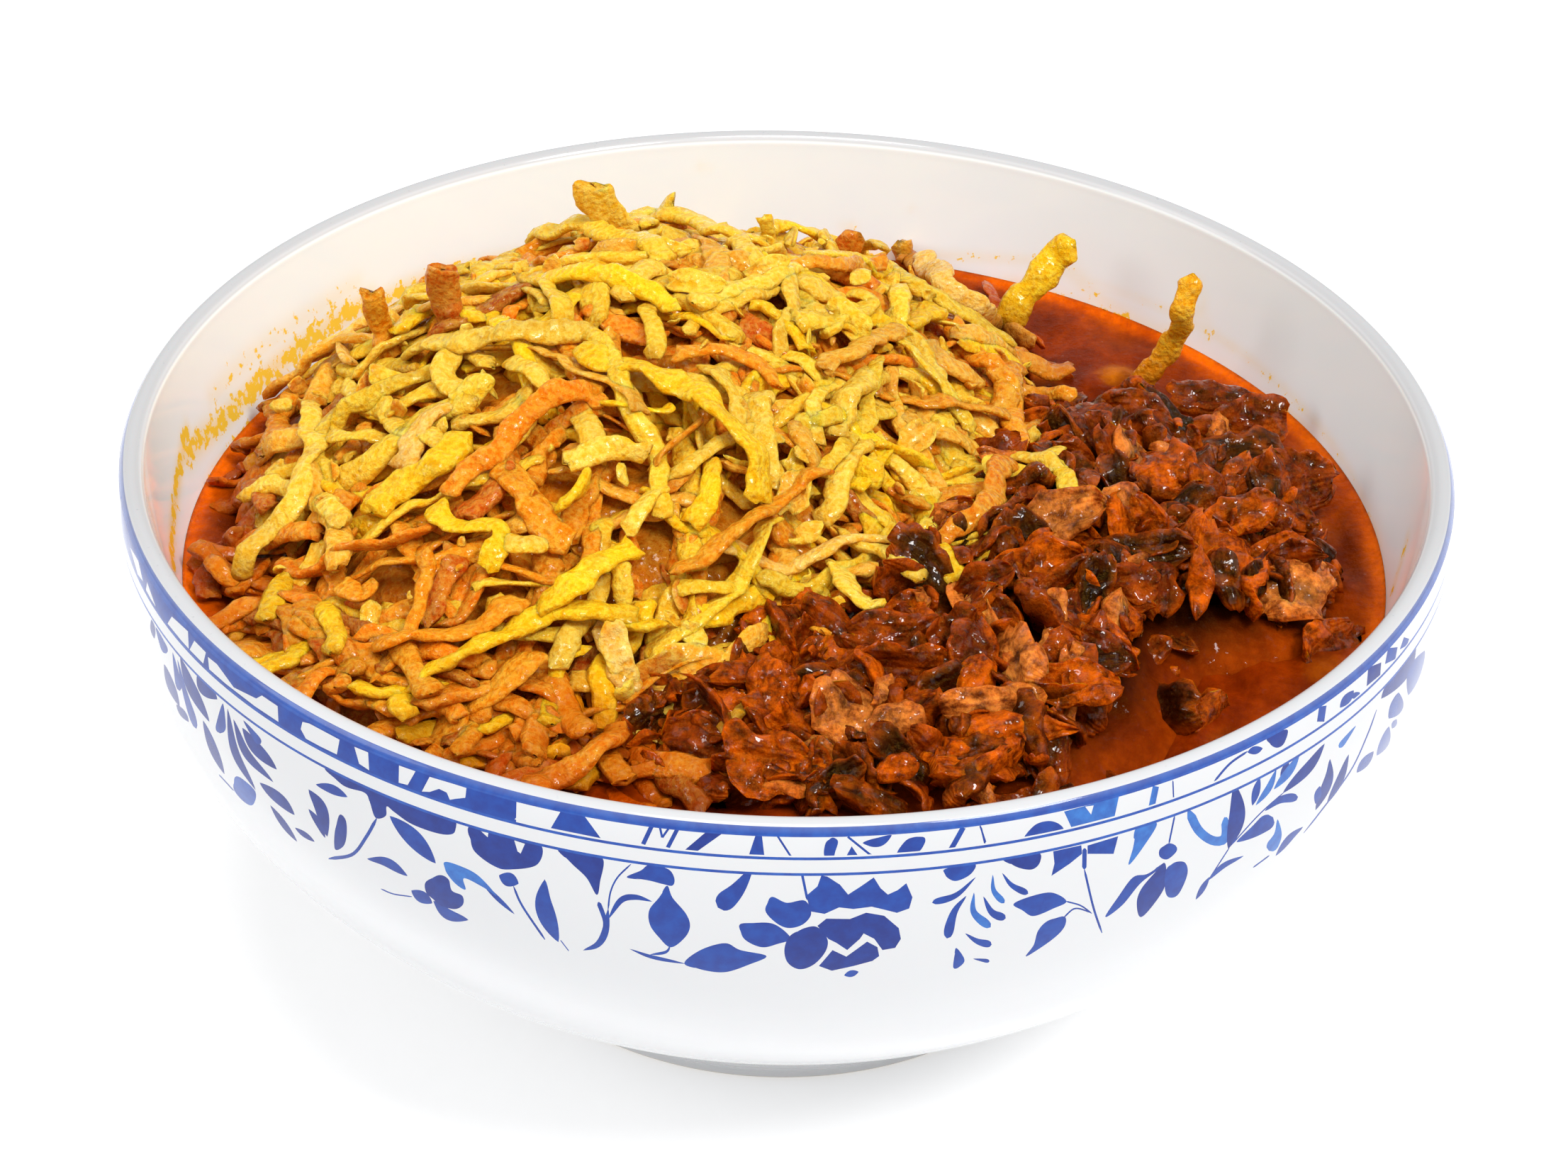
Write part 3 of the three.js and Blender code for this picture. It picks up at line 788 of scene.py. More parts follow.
def draw_upper_strip():
    """The narrow strip between the thick ring and the first thin one"""
    patch = Patch((150, 760), 3.336)
    for points in (
        ((112, 40), (150, 105), (172, 200), (148, 180)),
        ((192, 205), (232, 328), (208, 300), (186, 240)),
        ((308, 366), (384, 436), (388, 522), (352, 486), (288, 408)),
        ((414, 480), (468, 535), (456, 594), (392, 530)),
        ((478, 556), (520, 590), (600, 700), (705, 752), (732, 738), (806, 788), (810, 862), (700, 792),
            (560, 694), (484, 624)),
    ):
        patch.outline(WHITE, *points, smooth=False)
    patch = Patch((400, 980), 4.126)
    for points in (
        ((110, 158), (150, 168), (326, 262), (310, 348), (215, 302), (130, 258), (100, 200)),
        ((412, 303), (492, 336), (498, 440), (440, 402)),
        ((672, 412), (768, 446), (722, 526), (670, 512)),
        ((850, 478), (1065, 540), (1058, 600), (1000, 606), (968, 612), (950, 570), (905, 548), (850, 566),
            (805, 566)),
        ((1418, 642), (1600, 676), (1700, 705), (1660, 790), (1560, 772), (1345, 726)),
    ):
        patch.outline(WHITE, *points, smooth=False)
    patch = Patch((700, 1080), 3.92)
    patch.outline(COBALT, (358, 245), (488, 275), (578, 402), (302, 346), smooth=False)
    patch.bar(24, (862, 330), (812, 436))
    patch.bar(12, (905, 340), (918, 398))
    patch.bar(12, (918, 398), (952, 350))
    patch.bar(22, (1005, 345), (948, 455))
    patch.outline(COBALT_DARK, (1160, 355), (1252, 372), (1115, 478), (1045, 466), smooth=False)
    patch = Patch((1000, 1100), 3.92)
    patch.outline(COBALT, (258, 300), (294, 302), (306, 430), (222, 428), smooth=False)
    patch.bar(11, (378, 308), (458, 432))
    patch.outline(COBALT, (682, 320), (714, 340), (700, 395), (684, 432), (638, 420), (646, 350))
    patch.bar(12, (768, 315), (905, 425))
    patch.outline(COBALT, (762, 432), (790, 368), (822, 430), smooth=False)
    patch.leaf(50, (850, 350), (940, 345), (1012, 306))
    patch.outline(COBALT, (1190, 318), (1194, 350), (1150, 405), (1040, 418), (1085, 340), (1140, 316))
    patch.bar(28, (1408, 262), (1362, 345), (1330, 400))
    patch.bar(9, (1500, 255), (1530, 345))
    patch = Patch((1300, 1050), 3.92)
    patch.stem(9, (328, 455), (352, 555))
    patch.outline(COBALT, (565, 525), (625, 448), (700, 424), (760, 440), (780, 478), (660, 506))
    patch.outline(COBALT_LIGHT, (788, 372), (1092, 285), (1068, 405), (828, 462), smooth=False)
    patch.outline(WHITE, (905, 345), (952, 338), (938, 388), smooth=False)
    patch.bar(34, (1296, 232), (1272, 350), colour=COBALT_LIGHT)
    patch.stem(7, (1390, 200), (1394, 305))
    patch = Patch((1600, 900), 3.409)
    patch.stem(10, (545, 545), (460, 605), (385, 690))
    patch.leaf(38, (545, 550), (618, 530))
    patch.outline(COBALT_DARK, (640, 480), (735, 440), (722, 505), (690, 528), (658, 515))
    patch.bar(34, (908, 322), (896, 405))
    patch.leaf(40, (1056, 252), (990, 335))
    patch.leaf(30, (1048, 290), (1085, 262))
    patch.bar(60, (1158, 115), (1148, 235), colour=COBALT_DARK)
    patch.bar(44, (1245, 40), (1228, 130))
    patch.bar(26, (1310, 0), (1290, 60))


SOLID_STRIP_END = (728, 1160)


def frieze_outlines():
    """Every stroke as an outline on the wall, in arc length and drop, with its colour"""
    strip_end = wall_from_photo([SOLID_STRIP_END])[0][0]
    strip = np.array([[STRIP_START, RINGS[0][1]], [strip_end, RINGS[0][1]], [strip_end, RINGS[1][0]],
        [STRIP_START, RINGS[1][0]]])
    draw_left_edge()
    draw_left()
    draw_front_left()
    draw_peony()
    draw_spray()
    draw_right()
    below = len(Patch.strokes)
    draw_upper_strip()
    outlines = [(strip, COBALT)]
    for i, (pixels, colour) in enumerate(Patch.strokes):
        shape = wall_from_photo(pixels)
        high, low = (RINGS[2][0], BAND_BOTTOM) if i < below else (RINGS[0][1] - 0.1, RINGS[1][0] + 0.1)
        shape[:, 1] = np.clip(shape[:, 1], high, low - 0.3)
        if np.abs(shape[:, 0]).max() < HALF_TURN / 2:
            outlines.append((shape, colour))
    return outlines


def paint_at(points, outlines):
    """Colour and cover of the painting at points on the wall"""
    colours = np.zeros((len(points), 4))
    for shape, colour in outlines:
        low, high = shape.min(axis=0), shape.max(axis=0)
        near = np.nonzero(((points > low) & (points < high)).all(axis=1))[0]
        x, y = points[near, 0], points[near, 1]
        turns = np.zeros(len(near), int)
        for (x0, y0), (x1, y1) in zip(shape, np.roll(shape, -1, axis=0)):
            side = (x1 - x0) * (y - y0) - (x - x0) * (y1 - y0)
            turns += ((y0 <= y) & (y1 > y) & (side > 0)).astype(int)
            turns -= ((y0 > y) & (y1 <= y) & (side < 0)).astype(int)
        covered = near[turns != 0]
        colours[covered] = 0 if colour is None else (*colour, 1)
    for top, bottom in RINGS:
        colours[(points[:, 1] > top) & (points[:, 1] < bottom)] = (*COBALT_LINE, 1)
    return colours


def side_copies(front):
    """Strokes from the middle of the front, moved to the two sides, which the photograph hides"""
    copies = []
    for shift, low, high in (
        (HALF_TURN / 2, -SIDE_REACH, SIDE_REACH),
        (1.5 * HALF_TURN, -SIDE_REACH, 0),
        (-HALF_TURN / 2, 0, SIDE_REACH),
    ):
        for shape, colour in front:
            if low < shape[:, 0].min() and shape[:, 0].max() < high:
                copies.append((shape + (shift, 0), colour))
    return copies


def painted_band():
    """The wall's painted band as triangles split along every brush stroke"""
    front = frieze_outlines()
    outlines = front + [(shape + (HALF_TURN, 0), colour) for shape, colour in front] + side_copies(front)
    points = []
    edges = []

    def add_line(line, closed):
        start = len(points)
        points.extend(line)
        edges.extend((start + k, start + k + 1) for k in range(len(line) - 1))
        if closed:
            edges.append((start + len(line) - 1, start))

    arcs = np.linspace(-HALF_TURN / 2, 1.5 * HALF_TURN, SEGMENTS + 1)
    drops = [BAND_TOP, *(edge for ring in RINGS for edge in ring)]
    drops += list(np.linspace(RINGS[2][1], BAND_BOTTOM, BAND_ROWS)[1:])
    for drop in drops:
        add_line([(a, drop) for a in arcs], False)
    for side in (arcs[0], arcs[-1]):
        add_line([(side, drop) for drop in drops], False)
    for shape, _ in outlines:
        add_line([tuple(p) for p in shape], True)
    found = geometry.delaunay_2d_cdt([Vector(p) for p in points], edges, [], 0, 1e-5, False)
    flat = np.array([tuple(p) for p in found[0]])
    triangles = np.array([tuple(face) for face in found[2]])
    corners = flat[triangles]
    span = (corners[:, 1] - corners[:, 0], corners[:, 2] - corners[:, 0])
    area = span[0][:, 0] * span[1][:, 1] - span[0][:, 1] * span[1][:, 0]
    triangles = triangles[np.abs(area) > 1e-7]
    area = area[np.abs(area) > 1e-7]
    triangles = np.where((area < 0)[:, None], triangles, triangles[:, ::-1])
    return flat, triangles, paint_at(flat[triangles].mean(axis=1), outlines)


# Stains on the inner wall: pixels along each, its half width and its strength
STAINS = (
    (((244, 800), (246, 720), (256, 650), (264, 610)), 1.8, 1.0),
    (((264, 640), (318, 590), (391, 517), (460, 464), (521, 425)), 2.6, 0.95),
    (((300, 560), (360, 500), (430, 450), (500, 405)), 2.6, 0.6),
    (((540, 425), (590, 402), (670, 380), (750, 364), (820, 352)), 2.2, 0.9),
    (((1180, 345), (1250, 362), (1350, 362), (1500, 372)), 1.4, 0.55),
    (((1500, 372), (1560, 430), (1640, 470), (1680, 440)), 2.0, 0.55),
    (((1690, 400), (1700, 470)), 1.6, 0.5),
    (((1500, 385), (1700, 465), (1850, 590), (1930, 720)), 1.2, 0.55),
    (((1965, 830), (1985, 760)), 1.4, 0.8),
    (((990, 235), (996, 238)), 1.2, 0.4),
    (((1195, 320), (1200, 322)), 1.4, 0.6),
    (((1285, 295), (1290, 298)), 1.0, 0.35),
)


def stain_at(points):
    strength = np.zeros(len(points))
    for pixels, half_width, most in STAINS:
        line = spline(inner_wall_from_photo(pixels), 60)
        distance = np.min(np.linalg.norm(points[:, None, :] - line[None, :, :], axis=2), axis=1)
        strength = np.maximum(strength, most * np.exp(-((distance / half_width) ** 2)))
    over_stew = np.clip(points[:, 2] - STEW_TOP - 0.4, 0, None)
    halo = 0.75 * np.exp(-over_stew / 1.3) * np.clip(0.6 + 0.6 * grain(points, 7, 41), 0, 1)
    return np.maximum(strength, halo)


def revolve(profile):
    """Vertices of a profile of radius and height turned round the axis, row by row"""
    angles = np.linspace(-math.pi / 2, 1.5 * math.pi, SEGMENTS + 1)[:-1]
    radius, z = profile[:, 0:1], profile[:, 1:2]
    rows = [radius * np.sin(angles), -radius * np.cos(angles), z * np.ones_like(angles)]
    return np.stack(rows, axis=-1).reshape(-1, 3)


def profile_normals(profile):
    """Outward directions across a profile that runs from the band down to the foot"""
    along = np.gradient(profile, axis=0)
    along /= np.linalg.norm(along, axis=1, keepdims=True)
    return np.stack([-along[:, 1], along[:, 0]], axis=1)


def make_bowl():
    flat, triangles, paint = painted_band()
    band_points = wall_point(flat[:, 0], flat[:, 1])
    slope = OUTSIDE[1:] - OUTSIDE[:-1]
    slope = np.vstack([slope, slope[-1:]])
    slope /= np.linalg.norm(slope, axis=1, keepdims=True)
    out = np.interp(flat[:, 1], OUTSIDE_DROP, -slope[:, 1])
    rise = np.interp(flat[:, 1], OUTSIDE_DROP, slope[:, 0])
    angle = flat[:, 0] / RIM_RADIUS
    band_normals = np.stack([out * np.sin(angle), -out * np.cos(angle), rise], axis=1)

    drops = np.linspace(BAND_BOTTOM, OUTSIDE_DROP[-1], LOWER_ROWS)
    lower = np.stack([np.interp(drops, OUTSIDE_DROP, OUTSIDE[:, k]) for k in (0, 1)], axis=1)
    ring_inner = FOOT_RADIUS - FOOT_BEVEL - FOOT_RING_WIDTH
    foot = arc((FOOT_RADIUS - FOOT_BEVEL, FOOT_BEVEL), FOOT_BEVEL, 0, -90, 5)
    recess = [(ring_inner, 0), (ring_inner - RECESS_SLOPE, FOOT_RECESS), (WELL_RADIUS, FOOT_RECESS),
        (0.01, FOOT_RECESS)]
    below = np.vstack([lower, (FOOT_RADIUS, FOOT_CREASE[1] - 0.3), foot, recess])
    top_drops = np.linspace(BAND_TOP, 0, 4)
    lip_out = np.stack([np.interp(top_drops, OUTSIDE_DROP, OUTSIDE[:, k]) for k in (0, 1)], axis=1)
    lip_in = arc(LIP_CENTRE, LIP_RADIUS, 90, 180, 9)[1:-1]
    wall = bezier(INNER_TOP, WALL_PULL, WELL_PULL, (WELL_RADIUS, WELL_HEIGHT), INNER_ROWS)
    above = np.vstack([lip_out, lip_in, wall, (0.01, WELL_HEIGHT)])

    batch_points = [band_points]
    batch_normals = [band_normals]
    groups = [triangles]
    offset = len(band_points)
    for profile, flip in ((below, False), (above, True)):
        points = revolve(profile)
        direction = profile_normals(profile) * (-1 if flip else 1)
        turned = revolve(direction)
        quads = sheet_faces(len(profile), SEGMENTS, True)
        groups.append((quads if flip else quads[:, ::-1]) + offset)
        batch_points.append(points)
        batch_normals.append(turned)
        offset += len(points)
    points = np.vstack(batch_points)
    normals = np.vstack(batch_normals)
    corner_count = sum(group.size for group in groups)
    cover = np.zeros((corner_count, 4))
    cover[: triangles.size] = np.repeat(paint, 3, axis=0)
    stain = np.zeros(len(points))
    radius = np.hypot(points[:, 0], points[:, 1])
    inner = np.nonzero((radius < inside_radius(points[:, 2]) + 0.2) & (points[:, 2] > STEW_TOP - 2))[0]
    stain[inner] = stain_at(points[inner])
    # The inside of the bowl takes the brighter, bluer glaze: painted light
    inside = (radius < inside_radius(points[:, 2]) + 0.2) * 1.0
    on_lip = np.clip((points[:, 2] - BOWL_HEIGHT + WORN_AND_SHADED_DEPTH) / 0.25, 0, 1)
    # Lip mask for real wear and for painted shade: it grows from the front of the lip towards the back
    lip_wear_and_shade = on_lip * (0.3 + 0.7 * np.clip((points[:, 1] + 60) / 40, 0, 1))
    bare = np.clip((0.42 - points[:, 2]) / 0.2, 0, 1) * (radius > ring_inner - 1)
    layers = {"paint": cover, "inside": inside, "stain": stain, "lip_wear_and_shade": lip_wear_and_shade, "bare": bare}
    add_piece("porcelain_bowl", points, groups, porcelain_material(), ("bowl",), layers,
        normals)


# The stew
STEW_DARK = linear(84, 20, 1)
STEW_MID = linear(132, 46, 2)
STEW_BRIGHT = linear(136, 44, 1)
STEW_OIL = linear(222, 92, 1)
PEA_YELLOW = linear(214, 120, 14)
RANDOM_PEAS = 46
PEA_RADIUS = 3.2


def make_stew(material):
    rng = np.random.default_rng(5)
    rings = 104
    columns = 300
    outer = inside_radius(STEW_TOP + 0.4) - 0.02
    shares = np.linspace(0.004, 1, rings) ** 0.8
    angles = np.linspace(0, 2 * math.pi, columns, endpoint=False)
    radius = (shares * outer)[:, None]
    x = (radius * np.cos(angles)).ravel()
    y = (radius * np.sin(angles)).ravel()
    plan = np.stack([x, y, np.zeros_like(x)], axis=1)
    to_wall = outer - np.hypot(x, y)
    calm = np.clip(to_wall / 4, 0, 1)
    lumps = 0.5 * grain(plan, 7, 1) + 0.4 * grain(plan * (1, 0.6, 1), 3.2, 2) + 0.15 * grain(plan, 1.3, 3)
    lumps = lumps + 0.5 * creased(plan * (1, 0.5, 1), 4.0, 9) - 0.25
    near_heap = np.minimum(edge_share(ONION_HEAP, x, y), edge_share(POTATO_HEAP, x, y))
    stirred = np.clip(1.25 - near_heap, 0, 0.35) / 0.35
    z = lumps * (0.9 + 1.2 * stirred) * calm
    shade = 0.5 + 0.7 * grain(plan, 7, 6) + 0.3 * grain(plan, 2.2, 7) - 0.3 * z
    colour = blend(STEW_BRIGHT, STEW_DARK, shade)
    peas = [(px, py, 1.5) for px, py in SHOWN_PEAS]
    while len(peas) < RANDOM_PEAS:
        angle, reach = rng.uniform(0, 2 * math.pi), outer * math.sqrt(rng.uniform(0.1, 0.88))
        peas.append((reach * math.cos(angle), reach * math.sin(angle), rng.uniform(-0.2, 0.7)))
    for px, py, proud in peas:
        away = np.hypot(x - px, y - py)
        cap = proud - PEA_RADIUS + np.sqrt(np.maximum(PEA_RADIUS**2 - away**2, 0))
        swell = np.where(away < PEA_RADIUS, cap, -9)
        z = np.where(swell > z, 0.35 * z + 0.65 * swell, z)
        yellow = np.clip(1 - (away / PEA_RADIUS) ** 3, 0, 1) * (0.12 + 0.3 * max(proud, 0))
        colour = blend(colour, PEA_YELLOW, yellow)
    oil = np.exp(-((to_wall / 1.7) ** 2)) + 0.25 * np.exp(-((to_wall / 6) ** 2))
    colour = blend(colour, STEW_OIL, oil)
    meniscus = 0.5 * np.exp(-to_wall / 0.8)
    top = np.stack([x, y, STEW_TOP + z + meniscus], axis=1)

    wall_heights = np.linspace(STEW_TOP - 0.6, WELL_HEIGHT + GAP, 14)
    side_radius = np.append(inside_radius(wall_heights) - GAP, 0.01)
    side_height = np.append(wall_heights, WELL_HEIGHT + GAP)
    side = np.stack(
        [side_radius[:, None] * np.cos(angles), side_radius[:, None] * np.sin(angles),
            side_height[:, None] + 0 * angles],
        axis=-1,
    ).reshape(-1, 3)
    points = np.vstack([top, side])
    quads = sheet_faces(rings + len(side_height), columns, True)[:, ::-1]
    centre = np.arange(columns)[None, :]
    colours = np.vstack([colour, np.tile(STEW_DARK, (len(side), 1))])
    add_piece("stew_surface", points, [quads, centre], material, ("stew",), {"tint": colours})


# The heaps
def heap_spots(heap, count, rng, spread=1.0):
    """Places spread evenly over a heap's plan, from its summit out"""
    reach = np.array(heap["reach"], float)
    for i in range(count):
        share = math.sqrt((i + 0.5) / count) * spread
        angle = (i * math.pi * (3 - math.sqrt(5)) + rng.uniform(-0.2, 0.2)) % (2 * math.pi)
        place = angle / (2 * math.pi) * len(reach)
        low = int(place) % len(reach)
        edge = reach[low] + (reach[(low + 1) % len(reach)] - reach[low]) * (place - int(place))
        x = heap["summit"][0] + share * edge * math.cos(angle)
        y = heap["summit"][1] + share * edge * math.sin(angle)
        yield x, y, share


def make_core(name, heap, inner, outer, material, nodes, seed):
    """The bare heap under what shows, with lumps of the food's own size"""
    rings, columns = 60, 180
    angle = np.linspace(0, 2 * math.pi, columns, endpoint=False)
    share = np.linspace(0.002, 1, rings)
    reach = np.array([*heap["reach"], heap["reach"][0]], float)
    place = angle / (2 * math.pi) * (len(reach) - 1)
    low = np.floor(place).astype(int)
    ease = (1 - np.cos((place - low) * math.pi)) / 2
    edge = (reach[low] * (1 - ease) + reach[low + 1] * ease)[None, :] * share[:, None]
    x = (heap["summit"][0] + edge * np.cos(angle)).ravel()
    y = (heap["summit"][1] + edge * np.sin(angle)).ravel()
    shares = np.repeat(share, columns)
    to_edge = np.clip((1 - shares) / 0.3, 0, 1) ** 0.7
    dome = STEW_TOP + EDGE_STEP + (heap["rise"] - EDGE_STEP) * (1 - shares**2)
    top = np.stack([x, y, dome], axis=1)
    lumps = 1.1 * grain(top, 5, seed) + 0.7 * grain(top, 2.4, seed + 1)
    lumps = lumps + 0.3 * grain(top, 1.2, seed + 2) - 1.1
    top[:, 2] += lumps * (0.25 + 0.75 * to_edge) - (EDGE_STEP + 1.0) * (1 - to_edge)
    wall = top[-columns:].copy()
    wall[:, 2] = STEW_TOP - SOAKED_DEPTH
    points = keep_in_bowl(np.vstack([top, wall]), 0.5)
    quads = sheet_faces(rings + 1, columns, True)
    caps = np.stack([np.arange(columns)[::-1], np.arange(columns) + rings * columns])
    outward = np.append(shares, np.ones(columns))
    tint = blend(inner, inner * 0.4, 0.5 + 0.7 * grain(points, 2.4, seed + 3))
    tint = blend(tint, outer, np.clip((outward - 0.7) / 0.2, 0, 1))
    layers = {"tint": tint, "wet": np.full(len(points), 0.5), "rib": np.zeros(len(points))}
    add_piece(name, points, [quads, caps], material, nodes, layers)


# The fried onion flakes
AMBER = linear(107, 31, 1)
BRIGHT_AMBER = linear(192, 82, 3)
DARK_ONION = linear(38, 8, 1)
BLACK_ONION = linear(16, 4, 1)
PALE_ONION = linear(220, 130, 52)
SUNK = 2.8
LARGE_FLAKES = 330
SMALL_CHIPS = 420
FRONT_TRIES = 110
OPEN_SHARE = 0.92
CHIP_ROWS = 9
CHIP_COLUMNS = 7

# Pixels round the front of the potato heap that onion flakes cover
ONION_FRONT = ((900, 990), (990, 950), (1060, 900), (1130, 860), (1190, 930), (1150, 1115), (960, 1110),
    (870, 1085))

# Pixels round the open sauce at the right, which few flakes cover
OPEN_SAUCE = ((1476, 1110), (1560, 980), (1609, 886), (1730, 880), (1840, 862), (1875, 800), (1840, 720),
              (1800, 640), (1780, 560), (2020, 600), (1990, 900), (1700, 1150))

# Flakes placed where they are seen: colour, then the left, top, right and bottom pixels
SHOWN_FLAKES = (
    (PALE_ONION, 1428, 702, 1550, 779),
    (BRIGHT_AMBER, 1407, 768, 1514, 824),
    (DARK_ONION, 1254, 763, 1346, 850),
    (AMBER, 1351, 799, 1428, 850),
    (PALE_ONION, 1478, 835, 1499, 901),
    (AMBER, 1310, 875, 1351, 926),
    (AMBER, 1330, 875, 1397, 957),
    (PALE_ONION, 1341, 972, 1458, 1018),
    (BRIGHT_AMBER, 1463, 942, 1570, 1008),
    (PALE_ONION, 1157, 962, 1234, 1069),
    (PALE_ONION, 1236, 983, 1280, 1054),
    (BRIGHT_AMBER, 1239, 1069, 1290, 1100),
    (BLACK_ONION, 1346, 1039, 1417, 1090),
    (BRIGHT_AMBER, 1397, 1013, 1509, 1049),
    (AMBER, 948, 1018, 1060, 1100),
    (BRIGHT_AMBER, 1030, 1040, 1126, 1126),
    (BLACK_ONION, 1162, 1075, 1218, 1110),
    (AMBER, 1126, 850, 1210, 932),
    (AMBER, 1200, 860, 1290, 925),
    (BLACK_ONION, 1514, 789, 1565, 886),
    (AMBER, 1525, 901, 1600, 947),
    (BRIGHT_AMBER, 1550, 700, 1637, 792),
    (BRIGHT_AMBER, 1667, 715, 1795, 771),
    (AMBER, 1790, 766, 1866, 822),
    (DARK_ONION, 1708, 782, 1750, 863),
    (DARK_ONION, 1745, 800, 1790, 850),
    (AMBER, 1560, 792, 1627, 853),
    (BRIGHT_AMBER, 1677, 782, 1708, 868),
    (AMBER, 1774, 710, 1841, 746),
    (AMBER, 1650, 535, 1780, 600),
    (AMBER, 1710, 570, 1810, 645),
    (AMBER, 1560, 550, 1650, 620),
    (BRIGHT_AMBER, 1590, 630, 1690, 720),
    (AMBER, 1730, 640, 1890, 740),
)


def creased(points, size, seed):
    """Noise with sharp creases, from 0 on a crease to 1"""
    return np.abs(grain(points, size, seed))


def flake(batch, centre, facing, heading, length, width, colour, rng, rows=20, columns=14, crease=1.0,
          low=DARK_ONION, high=BRIGHT_AMBER, thickness=0.4):
    """One flake: a thin crumpled sheet with both faces, a ragged outline and a rim"""
    seed = rng.integers(1, 900)
    u, v = np.meshgrid(np.linspace(-0.5, 0.5, rows), np.linspace(-0.5, 0.5, columns), indexing="ij")
    u, v = u.ravel(), v.ravel()
    plan = np.stack([u * length, v * width, np.zeros_like(u)], axis=1)
    squareness = rng.uniform(1.3, 3.5)
    narrow = np.clip(1 - np.abs(1.94 * u) ** squareness, 0, 1) ** (1 / squareness)
    narrow = narrow * (1 + 0.3 * grain(plan, 2.4, seed) + 0.15 * grain(plan, 1.1, seed + 7))
    lean = rng.uniform(-0.3, 0.3) * width
    curl, bow = rng.uniform(-0.3, 0.3), rng.uniform(-0.2, 0.2)
    height = curl * (2 * v) ** 2 * width * 0.5 + bow * (2 * u) ** 2 * length * 0.5
    fold_slope = rng.uniform(-0.4, 0.4)
    from_fold = v * width - rng.uniform(-0.2, 0.2) * width + rng.uniform(-0.3, 0.3) * u * length
    fold = fold_slope * np.abs(from_fold)
    creases = 1.3 * creased(plan, 4.5, seed + 1) + 0.8 * creased(plan, 2.2, seed + 2)
    height = height + fold + crease * creases
    height = height + crease * 0.3 * creased(plan, 1.1, seed + 3)
    middle = np.stack([u * length, v * width * narrow + lean * 2 * u, height], axis=1)
    middle[:, 0] += 0.8 * grain(plan, 2.0, seed + 4)
    facing = facing / np.linalg.norm(facing)
    heading = heading - facing * (heading @ facing)
    heading = heading / np.linalg.norm(heading)
    turn = np.stack([heading, np.cross(facing, heading), facing])
    middle = middle @ turn + centre
    rounded = 1 - np.clip(np.maximum(np.abs(2 * u), np.abs(2 * v)), 0, 1) ** 3
    half = ((0.15 + thickness * np.sqrt(rounded)) * (1 + 0.4 * grain(plan, 1.6, seed + 9)) / 2)[:, None]
    points = np.vstack([middle - facing * half, middle + facing * half])
    points[:, 2] = np.maximum(points[:, 2], STEW_TOP - 0.6)
    points = keep_in_bowl(points, 0.6)
    lower = sheet_faces(rows, columns, False)
    rim = np.concatenate([
        np.arange(columns),
        np.arange(1, rows) * columns + columns - 1,
        (rows - 1) * columns + np.arange(columns - 1)[::-1],
        np.arange(1, rows - 1)[::-1] * columns,
    ])
    ahead = np.roll(rim, -1)
    count = len(middle)
    edge = np.stack([rim, ahead, ahead + count, rim + count], axis=1)
    blot = np.clip(0.6 * grain(plan, 3.0, seed + 5) + 0.45 * grain(plan, 1.2, seed + 6), -1, 1)
    tint = blend(colour, low, np.clip(blot, 0, 1))
    tint = blend(tint, high, np.clip(-blot, 0, 0.5))
    # Painted light: each flake's thin rim is lightened towards the high colour, as if lit through
    thin = np.clip(np.maximum(np.abs(2 * u), np.abs(2 * v)), 0, 1) ** 5
    tint = blend(tint, high, 0.5 * thin)
    sunk = np.clip((STEW_TOP + 2.2 - points[:, 2]) / 2.2, 0, 1)
    tint = blend(np.vstack([tint, tint]), STEW_MID, sunk * 0.8)
    rib = np.tile(v * width / 0.9, 2)
    batch.add(points, lower, (lower + count)[:, ::-1], edge[:, ::-1], tint=tint, rib=rib, wet=0 * rib)


def in_outline(point, outline):
    """Whether a pixel lies inside an outline of pixels"""
    inside = False
    for (x0, y0), (x1, y1) in zip(outline, outline[1:] + outline[:1]):
        if (y0 > point[1]) != (y1 > point[1]) and point[0] < x0 + (point[1] - y0) / (y1 - y0) * (x1 - x0):
            inside = not inside
    return inside


def photo_pixel(point):
    away = np.asarray(point) - CAMERA_PLACE
    depth = away @ CAMERA_FORWARD
    return (IMAGE_WIDTH / 2 + FOCAL_PIXELS * (away @ CAMERA_RIGHT) / depth,
            IMAGE_HEIGHT / 2 - FOCAL_PIXELS * (away @ CAMERA_UP) / depth)


def scatter_flakes(batch, count, sizes, lifts, rng, rows, columns):
    """Flakes at random over the onion heap, fewer where the photograph shows open sauce"""
    choices = (AMBER, AMBER, DARK_ONION, BRIGHT_AMBER, AMBER, DARK_ONION, AMBER, BLACK_ONION,
               AMBER, BRIGHT_AMBER, DARK_ONION, PALE_ONION)
    for x, y, _ in heap_spots(ONION_HEAP, count, rng, 1.02):
        if edge_share(POTATO_HEAP, x, y) < 0.93:
            continue
        open_sauce = in_outline(photo_pixel((x, y, STEW_TOP + 2)), OPEN_SAUCE)
        if open_sauce and rng.uniform(0, 1) < OPEN_SHARE:
            continue
        length = rng.uniform(*sizes)
        facing = np.array([rng.normal(0, 1.0), rng.normal(0, 0.9) - 0.4, 0.8])
        heading = np.array([rng.normal(), rng.normal(), rng.normal(0, 0.7)])
        lift = 0 if open_sauce else rng.uniform(*lifts)
        colour = choices[rng.integers(0, len(choices))]
        centre = np.array([x, y, food_height(x, y) + lift - (SUNK if open_sauce else 0)])
        width = length * rng.uniform(0.4, 0.8)
        thickness = rng.uniform(0.08, 0.28) * length
        flake(batch, centre, facing, heading, length, width, colour, rng, rows, columns, thickness=thickness)


